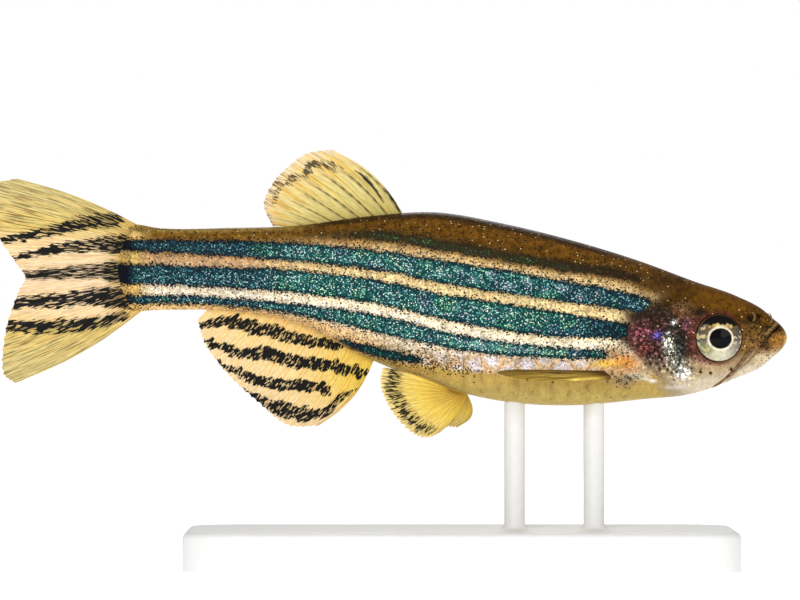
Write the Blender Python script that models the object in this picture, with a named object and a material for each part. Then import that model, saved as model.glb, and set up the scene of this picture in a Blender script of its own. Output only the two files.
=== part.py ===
"""Zebra danio, a life-size still model held on a plain display stand.

The fish looks towards +X with its back up (+Z), and its right side faces -Y.
The origin is on the floor, under the middle of the fish's length.
Sizes are worked in millimetres and each finished mesh is scaled to metres.
"""
import math

import bmesh
import bpy
import numpy as np
from mathutils import Matrix, Vector

MM = 0.001
GAP = 0.3
ROOT_CLEARANCE = GAP + 0.02
SHARP_ANGLE = math.radians(40.0)
SIDES = (("right", -1), ("left", 1))

# The body from tail to snout: place along X, height of the back, height of the belly, half width.
STATIONS = (
    (-15.4, 20.05, 15.00, 0.62),
    (-12.5, 19.80, 15.09, 0.98),
    (-9.0, 19.84, 15.02, 1.38),
    (-5.0, 19.98, 14.32, 1.88),
    (-1.0, 20.50, 12.32, 2.42),
    (3.0, 20.75, 10.73, 2.80),
    (7.0, 20.08, 9.77, 2.98),
    (11.0, 19.10, 9.55, 2.95),
    (15.0, 17.87, 9.90, 2.70),
    (18.0, 16.75, 10.25, 2.34),
    (20.5, 15.88, 11.15, 1.86),
    (22.0, 15.10, 11.85, 1.40),
    (22.8, 14.42, 12.52, 1.05),
    (23.4, 14.12, 12.90, 0.95),
)
TAIL_X = STATIONS[0][0]
SNOUT_X = STATIONS[-1][0]
WIDEST_LEVEL = 0.46
FLANK_FULLNESS = 0.92
NOSE_LENGTH = 0.65
NOSE_START = SNOUT_X - NOSE_LENGTH
HEAD_START = 12.0
TRUNK_RINGS = 44
HEAD_RINGS = 30
NOSE_STEPS = 5
BODY_SIDES = 32

# Where the body is parted, seen from the side: the gill cover's free edge and the mouth's slit.
GILL_EDGE = (
    (16.9, 21.0),
    (16.4, 17.9),
    (15.6, 15.7),
    (14.0, 13.7),
    (14.75, 12.45),
    (16.2, 11.1),
    (17.6, 9.9),
    (18.6, 8.0),
)
MOUTH_LINE = (
    (23.35, 14.8),
    (22.93, 14.16),
    (22.45, 13.72),
    (22.07, 13.28),
    (21.4, 12.45),
    (19.95, 11.0),
    (18.9, 8.6),
)
SEAM_POINTS = 24
GILL_SWELL = 0.16
GILL_SWELL_REACH = 2.2
STALK_X = -10.9
TAIL_END_X = -15.05
TAIL_END_ROUNDING = 0.16
TAIL_END_LEVEL = 17.5
TAIL_END_RANGE = (14.0, 21.0)
TAIL_END_POINTS = 15

# The space that the parting outlines take in beyond the fish.
UNDER_FISH = 6.0
OVER_FISH = 24.0
AHEAD_OF_FISH = 26.0
BESIDE_FISH = 6.0

EYE_X = 19.49
EYE_Z = 13.47
EYE_RADIUS = 1.37
EYE_SIDE = 1.90
EYE_BULGE = 0.45
EYE_DEPTH = 1.05
EYE_TURN = math.radians(10.0)
EYE_SEGMENTS = 24
EYE_RINGS = 12

LIP_RADIUS = 0.2
LIP_END_SHARE = 0.55
LIP_SINK = 0.08
LIP_POINTS = 18
MOUTH_CORNER_Z = 13.0
NOSTRILS = ((21.66, 14.72, 0.2), (21.15, 14.62, 0.24))
NOSTRIL_DEPTH = 0.22
NOSTRIL_FLAP = ((21.42, 14.5), (21.38, 14.9))
NOSTRIL_FLAP_RADII = (0.08, 0.12, 0.12, 0.08)
NOSTRIL_FLAP_RISE = 0.02
MAXILLARY_BARBEL = (
    (21.75, 1.3, 13.25),
    (21.2, 1.72, 12.72),
    (20.4, 1.84, 11.75),
    (19.6, 1.72, 11.0),
    (19.0, 1.55, 10.6),
)
ROSTRAL_BARBEL = ((22.35, 0.75, 14.2), (22.42, 1.05, 14.6), (22.3, 1.15, 15.05))
MAXILLARY_RADIUS = 0.25
ROSTRAL_RADIUS = 0.2
BARBEL_TIP_RADIUS = 0.11
BARBEL_POINTS = 8
TUBE_SIDES = 8
BALL_SEGMENTS = 12
BALL_RINGS = 8

FIN_THICKNESS = 0.5
FIN_TIP_THICKNESS = 0.25
FIN_ROWS = 7
RAY_RISE = 0.13
RAY_FOOT = 0.26
RAY_FRINGE = 0.12

# The fins: where they stand, their margins from the front ray to the last, how far forwards
# the rays bend at those places of the margin, and how many rays there are.
UPRIGHT = (0.0, 1.0, 0.0)
ROOT_POINTS = 6
DORSAL_ROOT = (0.9, -4.4)
DORSAL_TIPS = ((-3.0, 24.45), (-4.5, 24.2), (-5.65, 23.35), (-6.45, 22.4), (-6.85, 21.3), (-6.7, 20.5))
DORSAL_BOWS = (0.35, 0.2, 0.1, 0.0, 0.0, 0.0)
DORSAL_RAYS = 9
ANAL_ROOT = (-0.45, -9.9)
ANAL_TIPS = ((-3.75, 8.35), (-5.6, 8.42), (-7.3, 9.75), (-9.0, 11.3), (-10.3, 13.0), (-10.8, 14.5))
ANAL_BOWS = (0.5, 0.3, 0.1, 0.0, 0.0, 0.0)
ANAL_RAYS = 14
CAUDAL_ROOT_LEVELS = (19.95, 15.05)
CAUDAL_ROOT_GAP = 1.25 * GAP
CAUDAL_ROOT_POINTS = 7
CAUDAL_TIPS = (
    (-21.3, 22.72),
    (-23.35, 22.1),
    (-22.7, 19.9),
    (-21.3, 17.75),
    (-20.8, 16.95),
    (-21.2, 16.1),
    (-21.9, 14.0),
    (-22.1, 11.6),
    (-21.4, 10.82),
)
CAUDAL_BOWS = (0.3, 0.15, 0.0, 0.0, 0.0, 0.0, 0.1, 0.25, 0.4)
CAUDAL_RAYS = 18
PELVIC_ROOT = ((4.85, -0.9, 10.05), (4.1, -1.05, 10.2))
PELVIC_TIPS = (
    (3.3, -1.9, 8.02),
    (2.52, -2.0, 7.7),
    (1.65, -2.05, 7.98),
    (0.67, -2.0, 8.95),
    (0.05, -1.9, 10.0),
    (-0.2, -1.85, 10.95),
    (-0.05, -1.8, 11.8),
)
PELVIC_BOWS = (0.18, 0.1, 0.0, 0.0, 0.0, 0.0, 0.0)
LEFT_PELVIC_TIPS = (
    (4.35, -1.9, 8.24),
    (3.6, -1.9, 8.3),
    (2.8, -1.9, 8.6),
    (2.1, -1.9, 9.1),
    (1.6, -1.8, 9.8),
    (1.4, -1.7, 10.4),
    (1.5, -1.6, 10.85),
)
LEFT_PELVIC_BOWS = (0.6, 0.3, 0.1, 0.0, 0.0, 0.0, 0.0)
PELVIC_RAYS = 8
PELVIC_LEAN = 0.35
PECTORAL_ROOT = ((13.1, -3.1, 11.2), (12.7, -2.95, 11.5))
PECTORAL_TIPS = (
    (9.4, -4.4, 11.15),
    (7.5, -4.6, 11.2),
    (6.7, -4.3, 11.3),
    (6.6, -3.8, 11.35),
    (7.2, -3.2, 11.4),
)
PECTORAL_BOWS = (0.0, 0.0, 0.0, 0.0, 0.0)
PECTORAL_RAYS = 10
PECTORAL_LEAN = 0.3
PECTORAL_SWEEP = 0.05

STAND_LENGTH = 32.0
STAND_WIDTH = 16.0
STAND_HEIGHT = 2.4
STAND_X = 4.5
STAND_CORNER = 3.0
STAND_CORNER_STEPS = 6
STAND_EDGE = 0.4
STAND_EDGE_MIDDLE = 0.12
ROD_RADIUS = 0.6
ROD_SIDES = 20
ROD_PLACES = {"stand_rod_front": 12.2, "stand_rod_rear": 7.6}

# Colour, roughness and metallic value of each kind of surface.
SURFACES = {
    "head": ((0.36, 0.25, 0.13), 0.35, 0.15),
    "lower_jaw": ((0.55, 0.40, 0.18), 0.35, 0.1),
    "torso": ((0.12, 0.27, 0.30), 0.3, 0.3),
    "tail_stalk": ((0.14, 0.26, 0.32), 0.3, 0.3),
    "eye": ((0.75, 0.73, 0.62), 0.12, 0.4),
    "fin": ((0.86, 0.72, 0.40), 0.4, 0.0),
    "stand": ((0.72, 0.72, 0.70), 0.5, 0.0),
}


def material(kind):
    """Give the shared material of one kind of surface, made on first use."""
    if kind in bpy.data.materials:
        return bpy.data.materials[kind]
    colour, roughness, metallic = SURFACES[kind]
    made = bpy.data.materials.new(kind)
    made.use_nodes = True
    shader = made.node_tree.nodes["Principled BSDF"]
    shader.inputs["Base Color"].default_value = (*colour, 1.0)
    shader.inputs["Roughness"].default_value = roughness
    shader.inputs["Metallic"].default_value = metallic
    return made


def mesh_object(name, points, faces, kind):
    """Make an object from points in millimetres, with every face turned outwards."""
    mesh = bpy.data.meshes.new(name)
    mesh.from_pydata([tuple(point) for point in points], [], faces)
    work = bmesh.new()
    work.from_mesh(mesh)
    bmesh.ops.recalc_face_normals(work, faces=work.faces)
    work.to_mesh(mesh)
    work.free()
    obj = bpy.data.objects.new(name, mesh)
    bpy.context.collection.objects.link(obj)
    mesh.materials.append(material(kind))
    return obj


def boolean(obj, other, operation):
    """Cut, cross or join an object with another one, which is then removed."""
    modifier = obj.modifiers.new(operation.lower(), "BOOLEAN")
    modifier.operation = operation
    modifier.solver = "EXACT"
    modifier.object = other
    evaluated = obj.evaluated_get(bpy.context.evaluated_depsgraph_get())
    result = bpy.data.meshes.new_from_object(evaluated)
    obj.modifiers.clear()
    obj.data = result
    bpy.data.objects.remove(other, do_unlink=True)
    keep_largest(obj.data)


def keep_largest(mesh):
    """Leave only the closed surface with the most faces."""
    work = bmesh.new()
    work.from_mesh(mesh)
    left = set(work.faces)
    shells = []
    while left:
        shell = set()
        queue = [left.pop()]
        while queue:
            face = queue.pop()
            shell.add(face)
            near = {other for edge in face.edges for other in edge.link_faces}
            queue.extend(near & left)
            left -= near
        shells.append(shell)
    shells.sort(key=len, reverse=True)
    scraps = [face for shell in shells[1:] for face in shell]
    bmesh.ops.delete(work, geom=scraps, context="FACES")
    work.to_mesh(mesh)
    work.free()


def smooth_through(xs, values, x):
    """Read a smooth curve through known values at any place."""
    xs = np.asarray(xs, dtype=float)
    values = np.asarray(values, dtype=float)
    steps = np.diff(xs)
    slopes = np.diff(values) / steps
    inner = (slopes[:-1] * steps[1:] + slopes[1:] * steps[:-1]) / (steps[:-1] + steps[1:])
    tangents = np.concatenate([[slopes[0]], inner, [slopes[-1]]])
    place = int(np.clip(np.searchsorted(xs, x) - 1, 0, len(steps) - 1))
    t = float(np.clip((x - xs[place]) / steps[place], 0.0, 1.0))
    h = steps[place]
    return (
        (2 * t**3 - 3 * t**2 + 1) * values[place]
        + (t**3 - 2 * t**2 + t) * h * tangents[place]
        + (3 * t**2 - 2 * t**3) * values[place + 1]
        + (t**3 - t**2) * h * tangents[place + 1]
    )


def read_path(points, share):
    """Give the point at a share of the way along a smooth path through the given ones."""
    points = np.asarray(points, dtype=float)
    spans = np.linalg.norm(np.diff(points, axis=0), axis=1)
    run = np.concatenate([[0.0], np.cumsum(spans)])
    return [smooth_through(run, column, share * run[-1]) for column in points.T]


def smooth_path(points, count):
    """Give evenly spread points on a smooth path through the given ones, of any dimension."""
    return np.array([read_path(points, share) for share in np.linspace(0.0, 1.0, count)])


def body_section(x):
    """Give the middle level, rise to the back, drop to the belly and half width at one place."""
    xs, backs, bellies, widths = np.array(STATIONS).T
    back = smooth_through(xs, backs, x)
    belly = smooth_through(xs, bellies, x)
    width = smooth_through(xs, widths, x)
    level = belly + WIDEST_LEVEL * (back - belly)
    into_nose = max(0.0, x - NOSE_START) / NOSE_LENGTH
    blunt = math.sqrt(max(0.0, 1.0 - into_nose**2))
    return level, (back - level) * blunt, (level - belly) * blunt, width * blunt


def back_height(x):
    level, rise, _, _ = body_section(x)
    return level + rise


def belly_height(x):
    level, _, drop, _ = body_section(x)
    return level - drop


def flank_half_width(x, z):
    """Give the body's half width at one place and height."""
    level, rise, drop, width = body_section(x)
    share = (z - level) / (rise if z > level else drop)
    return width * max(0.0, 1.0 - share * share) ** (FLANK_FULLNESS / 2)


def gill_edge_x(z):
    """Give where the gill cover's free edge lies at one height."""
    xs, zs = np.array(GILL_EDGE).T
    return smooth_through(zs[::-1], xs[::-1], z)


def gill_swell(x, z):
    """Give how far the gill cover stands proud of the body near its free edge."""
    ahead = (x - gill_edge_x(z)) / GILL_SWELL_REACH
    if ahead <= 0.0:
        return GILL_SWELL
    return GILL_SWELL * max(0.0, 1.0 - ahead) ** 2


def closed_rings(points_per_ring, ring_count):
    """List the faces between rings of points that close on themselves."""
    faces = []
    for ring in range(ring_count - 1):
        for place in range(points_per_ring):
            beside = (place + 1) % points_per_ring
            low = ring * points_per_ring
            high = low + points_per_ring
            faces.append((low + place, low + beside, high + beside, high + place))
    return faces


def round_places(count):
    """Give evenly spread angles round a full turn."""
    return [2 * math.pi * place / count for place in range(count)]


def body_loft(name, kind, swollen):
    """Make the whole body as one closed skin of rings, with or without the gill covers' swell."""
    trunk = list(np.linspace(TAIL_X, HEAD_START, TRUNK_RINGS))
    head = list(np.linspace(HEAD_START, NOSE_START, HEAD_RINGS))[1:]
    turns = [math.pi / 2 * step / NOSE_STEPS for step in range(1, NOSE_STEPS)]
    nose = [NOSE_START + NOSE_LENGTH * math.sin(turn) for turn in turns]
    rings = trunk + head + nose
    points = []
    for x in rings:
        level, rise, drop, width = body_section(x)
        for angle in round_places(BODY_SIDES):
            height = math.cos(angle)
            out = math.sin(angle)
            z = level + height * (rise if height > 0 else drop)
            y = -math.copysign(width * abs(out) ** FLANK_FULLNESS, out)
            if swollen:
                y += math.copysign(gill_swell(x, z) * abs(out), -out)
            points.append((x, y, z))
    faces = closed_rings(BODY_SIDES, len(rings))
    faces.append(tuple(range(BODY_SIDES)))
    tip = len(points)
    points.append((SNOUT_X, 0.0, body_section(SNOUT_X)[0]))
    last = tip - BODY_SIDES
    for side in range(BODY_SIDES):
        faces.append((last + side, last + (side + 1) % BODY_SIDES, tip))
    return mesh_object(name, points, faces, kind)


def tail_end_x(z):
    """Give where the flesh of the tail ends at one height, rounded towards the fin."""
    return TAIL_END_X + TAIL_END_ROUNDING * (z - TAIL_END_LEVEL) ** 2


def side_path(points, shift):
    """Give a smooth side-view path moved sideways by a distance, to the right of its direction."""
    path = smooth_path(points, SEAM_POINTS)
    along = np.gradient(path, axis=0)
    along /= np.linalg.norm(along, axis=1)[:, None]
    right = np.stack([along[:, 1], -along[:, 0]], axis=1)
    return [tuple(point) for point in path + right * shift]


def prism(name, outline):
    """Make a block from a side-view outline, wider than the fish."""
    count = len(outline)
    points = [(x, side * BESIDE_FISH, z) for side in (-1, 1) for x, z in outline]
    faces = [tuple(range(count)), tuple(range(2 * count - 1, count - 1, -1))]
    faces += closed_rings(count, 2)
    return mesh_object(name, points, faces, "stand")


def upright_line(x):
    """Give a straight side-view path from high to low."""
    low, high = TAIL_END_RANGE
    return [(x, high), (x, low)]


def between(behind, ahead):
    """Give the outline between two side-view paths that both run from over to under the fish."""
    outline = [(behind[0][0], OVER_FISH)] + behind + [(behind[-1][0], UNDER_FISH)]
    outline += [(ahead[-1][0], UNDER_FISH)] + ahead[::-1] + [(ahead[0][0], OVER_FISH)]
    return outline


def region_outlines():
    """Give the side-view outline of each length of the body, kept apart by the gap."""
    half = GAP / 2
    low, high = TAIL_END_RANGE
    tail_end = [(tail_end_x(z), z) for z in np.linspace(high, low, TAIL_END_POINTS)]
    return {
        "tail_stalk": between(tail_end, upright_line(STALK_X - half)),
        "torso": between(upright_line(STALK_X + half), side_path(GILL_EDGE, half)),
        "head": between(side_path(GILL_EDGE, -half), side_path(MOUTH_LINE, half)),
        "lower_jaw": between(side_path(MOUTH_LINE, -half), upright_line(AHEAD_OF_FISH)),
    }


def eye_ball(name, side, extra):
    """Make an eye, or the socket around it: a ball whose outer half is flatter."""
    radius = EYE_RADIUS + extra
    bulge = EYE_BULGE + extra
    depth = EYE_DEPTH + extra
    points = []
    for ring in range(1, EYE_RINGS):
        polar = math.pi * ring / EYE_RINGS
        outwards = math.cos(polar) * (bulge if math.cos(polar) > 0 else depth)
        for angle in round_places(EYE_SEGMENTS):
            reach = radius * math.sin(polar)
            points.append((reach * math.cos(angle), outwards, reach * math.sin(angle)))
    faces = closed_rings(EYE_SEGMENTS, EYE_RINGS - 1)
    outer = len(points)
    inner = outer + 1
    points += [(0.0, bulge, 0.0), (0.0, -depth, 0.0)]
    last = outer - EYE_SEGMENTS
    for segment in range(EYE_SEGMENTS):
        beside = (segment + 1) % EYE_SEGMENTS
        faces.append((outer, segment, beside))
        faces.append((inner, last + beside, last + segment))
    turn = Matrix.Rotation(-EYE_TURN, 4, "Z")
    placed = []
    for point in points:
        x, y, z = turn @ Vector(point)
        placed.append((EYE_X + x, side * (EYE_SIDE + y), EYE_Z + z))
    return mesh_object(name, placed, faces, "eye")


def fin_columns(ray_count):
    """List the places across a fin where its sheet has a column of points, and which lie on a ray."""
    step = 1.0 / (ray_count - 1)
    columns = []
    for ray in range(ray_count):
        for foot in (-RAY_FOOT, 0.0, RAY_FOOT):
            share = (ray + foot) * step
            if 0.0 <= share <= 1.0:
                columns.append((share, foot == 0.0))
    return columns


def fin_line(root, tip, bow, across, on_ray):
    """Give the middle points and half thicknesses from a fin's root to its margin at one column."""
    ray = tip - root
    if on_ray:
        ray *= 1.0 + RAY_FRINGE / ray.length
    forwards = ray.cross(across).normalized()
    forwards *= math.copysign(1.0, forwards.x)
    line = []
    for row in range(FIN_ROWS + 1):
        out = row / FIN_ROWS
        middle = root + ray * out + forwards * bow * math.sin(math.pi * out)
        half = FIN_THICKNESS / 2
        if on_ray:
            half += RAY_RISE * (1.0 - 0.5 * out)
        if row == FIN_ROWS:
            half = FIN_TIP_THICKNESS / 2
        line.append((middle, half))
    return line


def fin(name, roots, tips, bows, ray_count, across):
    """Make a fin as a sheet with its rays raised as ridges on both faces.

    roots and tips are points along the root and the margin, from the fin's front ray to its last.
    bows are how far the rays bend forwards at the tips' places, and across is the sheet's own normal.
    """
    across = Vector(across).normalized()
    keys = np.linspace(0.0, 1.0, len(tips))
    lines = []
    for share, on_ray in fin_columns(ray_count):
        root = Vector(read_path(roots, share))
        tip = Vector([smooth_through(keys, values, share) for values in np.array(tips).T])
        bow = smooth_through(keys, bows, share)
        lines.append(fin_line(root, tip, bow, across, on_ray))
    points = []
    for side in (1, -1):
        points += [middle + across * side * half for line in lines for middle, half in line]
    rows = FIN_ROWS + 1
    sheet = len(lines) * rows
    faces = []
    for column in range(len(lines) - 1):
        for row in range(FIN_ROWS):
            for start in (0, sheet):
                near = start + column * rows + row
                far = near + rows
                faces.append((near, far, far + 1))
                faces.append((near, far + 1, near + 1))
    last = sheet - rows
    rim = list(range(0, last, rows)) + list(range(last, sheet))
    rim += list(range(last - 1, FIN_ROWS, -rows)) + list(range(FIN_ROWS, 0, -1))
    for here, there in zip(rim, rim[1:] + rim[:1]):
        faces.append((here, there, sheet + there, sheet + here))
    return mesh_object(name, points, faces, "fin")


def tube(name, path, radii, kind):
    """Make a closed round tube along a path, with a radius at each of its points."""
    path = [Vector(point) for point in path]
    points = []
    for place, centre in enumerate(path):
        ahead = path[min(place + 1, len(path) - 1)] - path[max(place - 1, 0)]
        across = ahead.cross(Vector((0.0, 0.0, 1.0))).normalized()
        upright = across.cross(ahead).normalized()
        for angle in round_places(TUBE_SIDES):
            points.append(centre + (across * math.cos(angle) + upright * math.sin(angle)) * radii[place])
    faces = closed_rings(TUBE_SIDES, len(path))
    faces.append(tuple(range(TUBE_SIDES)))
    faces.append(tuple(range(len(points) - 1, len(points) - 1 - TUBE_SIDES, -1)))
    return mesh_object(name, points, faces, kind)


def ball(name, centre, radii, kind):
    """Make a small ball with a radius along each axis."""
    mesh = bpy.data.meshes.new(name)
    work = bmesh.new()
    bmesh.ops.create_uvsphere(work, u_segments=BALL_SEGMENTS, v_segments=BALL_RINGS, radius=1.0)
    placed = Matrix.Translation(centre) @ Matrix.Diagonal((*radii, 1.0))
    bmesh.ops.transform(work, matrix=placed, verts=work.verts)
    work.to_mesh(mesh)
    work.free()
    obj = bpy.data.objects.new(name, mesh)
    bpy.context.collection.objects.link(obj)
    mesh.materials.append(material(kind))
    return obj


def lip(name, kind, shift):
    """Make a lip as a tube that follows the mouth's slit round the snout from corner to corner."""
    one_side = []
    for x, z in side_path(MOUTH_LINE, shift):
        if z <= MOUTH_CORNER_Z or z >= back_height(x) or x >= SNOUT_X:
            continue
        y = flank_half_width(x, z) - LIP_SINK
        if y > LIP_RADIUS:
            one_side.append((x, y, z))
    other_side = [(x, -y, z) for x, y, z in one_side]
    path = smooth_path(one_side[::-1] + other_side, LIP_POINTS)
    radii = []
    for share in np.linspace(0.0, 1.0, LIP_POINTS):
        radii.append(LIP_RADIUS * (LIP_END_SHARE + (1.0 - LIP_END_SHARE) * math.sin(math.pi * share)))
    return tube(name, path, radii, kind)


def barbel(name, keys, side, radius):
    """Make one feeler that tapers to its tip."""
    path = smooth_path([(x, side * y, z) for x, y, z in keys], BARBEL_POINTS)
    radii = np.linspace(radius, BARBEL_TIP_RADIUS, BARBEL_POINTS)
    return tube(name, path, radii, "head")


def nostril_flap(side):
    """Make the flap of skin that stands between a side's two nostrils."""
    flap = [(x, side * (flank_half_width(x, z) + NOSTRIL_FLAP_RISE), z) for x, z in NOSTRIL_FLAP]
    return tube("nostril_flap", smooth_path(flap, len(NOSTRIL_FLAP_RADII)), NOSTRIL_FLAP_RADII, "head")


def finish_head(head):
    """Add the upper lip, barbels and nostrils to the head, and cut the eye sockets into it."""
    boolean(head, lip("upper_lip", "head", GAP / 2 + LIP_RADIUS), "UNION")
    for _, side in SIDES:
        boolean(head, barbel("maxillary_barbel", MAXILLARY_BARBEL, side, MAXILLARY_RADIUS), "UNION")
        boolean(head, barbel("rostral_barbel", ROSTRAL_BARBEL, side, ROSTRAL_RADIUS), "UNION")
        for x, z, radius in NOSTRILS:
            centre = (x, side * flank_half_width(x, z), z)
            boolean(head, ball("nostril", centre, (radius, NOSTRIL_DEPTH, radius), "head"), "DIFFERENCE")
        boolean(head, nostril_flap(side), "UNION")
        boolean(head, eye_ball("socket", side, GAP), "DIFFERENCE")


def make_body():
    """Make the lengths of the body, with the head's own features."""
    for name, outline in region_outlines().items():
        swollen = name in ("head", "lower_jaw")
        part = body_loft(name, name, swollen)
        boolean(part, prism("region", outline), "INTERSECT")
        if name == "head":
            finish_head(part)
        if name == "lower_jaw":
            boolean(part, lip("lower_lip", name, -GAP / 2 - LIP_RADIUS), "UNION")
    for name, side in SIDES:
        eye_ball("eye_" + name, side, 0.0)


def on_edge(x_range, height, clearance):
    """Give root points of a middle fin that follow the back or belly at a distance."""
    return [(x, 0.0, height(x) + clearance) for x in np.linspace(*x_range, ROOT_POINTS)]


def behind_stalk():
    """Give root points of the tail fin that follow the end of the flesh at a distance."""
    levels = np.linspace(*CAUDAL_ROOT_LEVELS, CAUDAL_ROOT_POINTS)
    return [(tail_end_x(z) - CAUDAL_ROOT_GAP, 0.0, z) for z in levels]


def in_middle(outline):
    return [(x, 0.0, z) for x, z in outline]


def on_side(points, side):
    """Give points of the right side, or their mirror image on the left."""
    return [(x, -side * y, z) for x, y, z in points]


def make_middle_fins():
    """Make the dorsal, anal and tail fins."""
    dorsal_roots = on_edge(DORSAL_ROOT, back_height, ROOT_CLEARANCE)
    fin("dorsal_fin", dorsal_roots, in_middle(DORSAL_TIPS), DORSAL_BOWS, DORSAL_RAYS, UPRIGHT)
    anal_roots = on_edge(ANAL_ROOT, belly_height, -ROOT_CLEARANCE)
    fin("anal_fin", anal_roots, in_middle(ANAL_TIPS), ANAL_BOWS, ANAL_RAYS, UPRIGHT)
    fin("caudal_fin", behind_stalk(), in_middle(CAUDAL_TIPS), CAUDAL_BOWS, CAUDAL_RAYS, UPRIGHT)


def make_paired_fins():
    """Make the pelvic and pectoral fins. The left pelvic fin is swung forwards and spread less."""
    pelvic_outlines = {"right": (PELVIC_TIPS, PELVIC_BOWS), "left": (LEFT_PELVIC_TIPS, LEFT_PELVIC_BOWS)}
    for name, side in SIDES:
        outline, bows = pelvic_outlines[name]
        roots = on_side(PELVIC_ROOT, side)
        tips = on_side(outline, side)
        across = (0.0, 1.0, -PELVIC_LEAN * side)
        fin("pelvic_fin_" + name, roots, tips, bows, PELVIC_RAYS, across)
        roots = on_side(PECTORAL_ROOT, side)
        tips = on_side(PECTORAL_TIPS, side)
        across = (PECTORAL_SWEEP, PECTORAL_LEAN * side, 1.0)
        fin("pectoral_fin_" + name, roots, tips, PECTORAL_BOWS, PECTORAL_RAYS, across)


def slab_outline(inset):
    """Give the stand's outline, seen from above, at a distance inside its edge."""
    outline = []
    for corner, (corner_x, corner_y) in enumerate(((1, 1), (-1, 1), (-1, -1), (1, -1))):
        for step in range(STAND_CORNER_STEPS + 1):
            angle = math.pi / 2 * (corner + step / STAND_CORNER_STEPS)
            reach = STAND_CORNER - inset
            x = STAND_X + corner_x * (STAND_LENGTH / 2 - STAND_CORNER) + reach * math.cos(angle)
            y = corner_y * (STAND_WIDTH / 2 - STAND_CORNER) + reach * math.sin(angle)
            outline.append((x, y))
    return outline


def stand_base():
    """Make the stand's base: a slab with round corners and a softened upper edge."""
    levels = (
        (0.0, 0.0),
        (STAND_HEIGHT - STAND_EDGE, 0.0),
        (STAND_HEIGHT - STAND_EDGE_MIDDLE, STAND_EDGE_MIDDLE),
        (STAND_HEIGHT, STAND_EDGE),
    )
    points = []
    for z, inset in levels:
        points += [(x, y, z) for x, y in slab_outline(inset)]
    count = len(points) // len(levels)
    faces = closed_rings(count, len(levels))
    faces.append(tuple(range(count - 1, -1, -1)))
    faces.append(tuple(range(len(points) - count, len(points))))
    return mesh_object("stand_base", points, faces, "stand")


def rod(name, x, bottom, top):
    """Make one upright round rod."""
    points = []
    for z in (bottom, top):
        for angle in round_places(ROD_SIDES):
            points.append((x + ROD_RADIUS * math.cos(angle), ROD_RADIUS * math.sin(angle), z))
    faces = closed_rings(ROD_SIDES, 2)
    faces.append(tuple(range(ROD_SIDES - 1, -1, -1)))
    faces.append(tuple(range(ROD_SIDES, 2 * ROD_SIDES)))
    return mesh_object(name, points, faces, "stand")


def make_stand():
    """Make the base and the two rods that reach up to the belly."""
    stand_base()
    for name, x in ROD_PLACES.items():
        rod(name, x, STAND_HEIGHT + GAP, belly_height(x) - ROOT_CLEARANCE)


def finish():
    """Scale every mesh to metres and shade the round ones smooth."""
    for obj in bpy.data.objects:
        obj.data.transform(Matrix.Scale(MM, 4))
        obj.data.shade_smooth()
        obj.data.set_sharp_from_angle(angle=SHARP_ANGLE)


def main():
    for obj in list(bpy.data.objects):
        bpy.data.objects.remove(obj, do_unlink=True)
    make_body()
    make_middle_fins()
    make_paired_fins()
    make_stand()
    finish()


main()
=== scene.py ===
"""The zebra danio's looks: skin, scales, eyes, fins, feelers, its stand and the studio."""
import math

import bmesh
import bpy
import numpy as np
from mathutils import Matrix, Vector


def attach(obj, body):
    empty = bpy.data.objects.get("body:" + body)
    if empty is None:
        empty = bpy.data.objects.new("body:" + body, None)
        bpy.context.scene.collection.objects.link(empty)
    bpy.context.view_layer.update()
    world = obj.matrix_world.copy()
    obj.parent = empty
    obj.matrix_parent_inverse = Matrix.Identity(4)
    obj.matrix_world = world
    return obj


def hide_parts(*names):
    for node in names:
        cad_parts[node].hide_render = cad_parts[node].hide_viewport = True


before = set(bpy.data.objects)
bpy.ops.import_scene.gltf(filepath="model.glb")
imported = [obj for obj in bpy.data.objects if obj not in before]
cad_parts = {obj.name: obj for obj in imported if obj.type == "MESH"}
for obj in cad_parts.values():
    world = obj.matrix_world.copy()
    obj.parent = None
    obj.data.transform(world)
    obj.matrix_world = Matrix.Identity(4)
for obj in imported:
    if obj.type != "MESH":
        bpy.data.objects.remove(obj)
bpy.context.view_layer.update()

MM = 0.001
RIGHT, LEFT = -1, 1

# The body from tail to snout: place along X, height of the back, height of the belly, half width.
STATIONS = np.array((
    (-15.4, 20.05, 15, 0.62),
    (-12.5, 19.8, 15.09, 0.98),
    (-9, 19.84, 15.02, 1.38),
    (-5, 19.98, 14.32, 1.88),
    (-1, 20.5, 12.32, 2.42),
    (3, 20.75, 10.73, 2.8),
    (7, 20.08, 9.77, 2.98),
    (11, 19.1, 9.55, 2.95),
    (15, 17.87, 9.9, 2.7),
    (18, 16.75, 10.25, 2.34),
    (20.5, 15.88, 11.15, 1.86),
    (22, 15.1, 11.85, 1.4),
    (22.8, 14.42, 12.52, 1.05),
    (23.4, 14.12, 12.9, 0.95),
))
WIDEST_LEVEL = 0.46
FLANK_FULLNESS = 0.92
NOSE_LENGTH = 0.65
NOSE_START = STATIONS[-1][0] - NOSE_LENGTH
SKIN_SIDES = 144
TRUNK_STEP = 0.16
HEAD_STEP = 0.065
HEAD_FROM = 12.6
SOCKET_ROOM = 0.05
SHARP_ANGLE = 50

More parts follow.
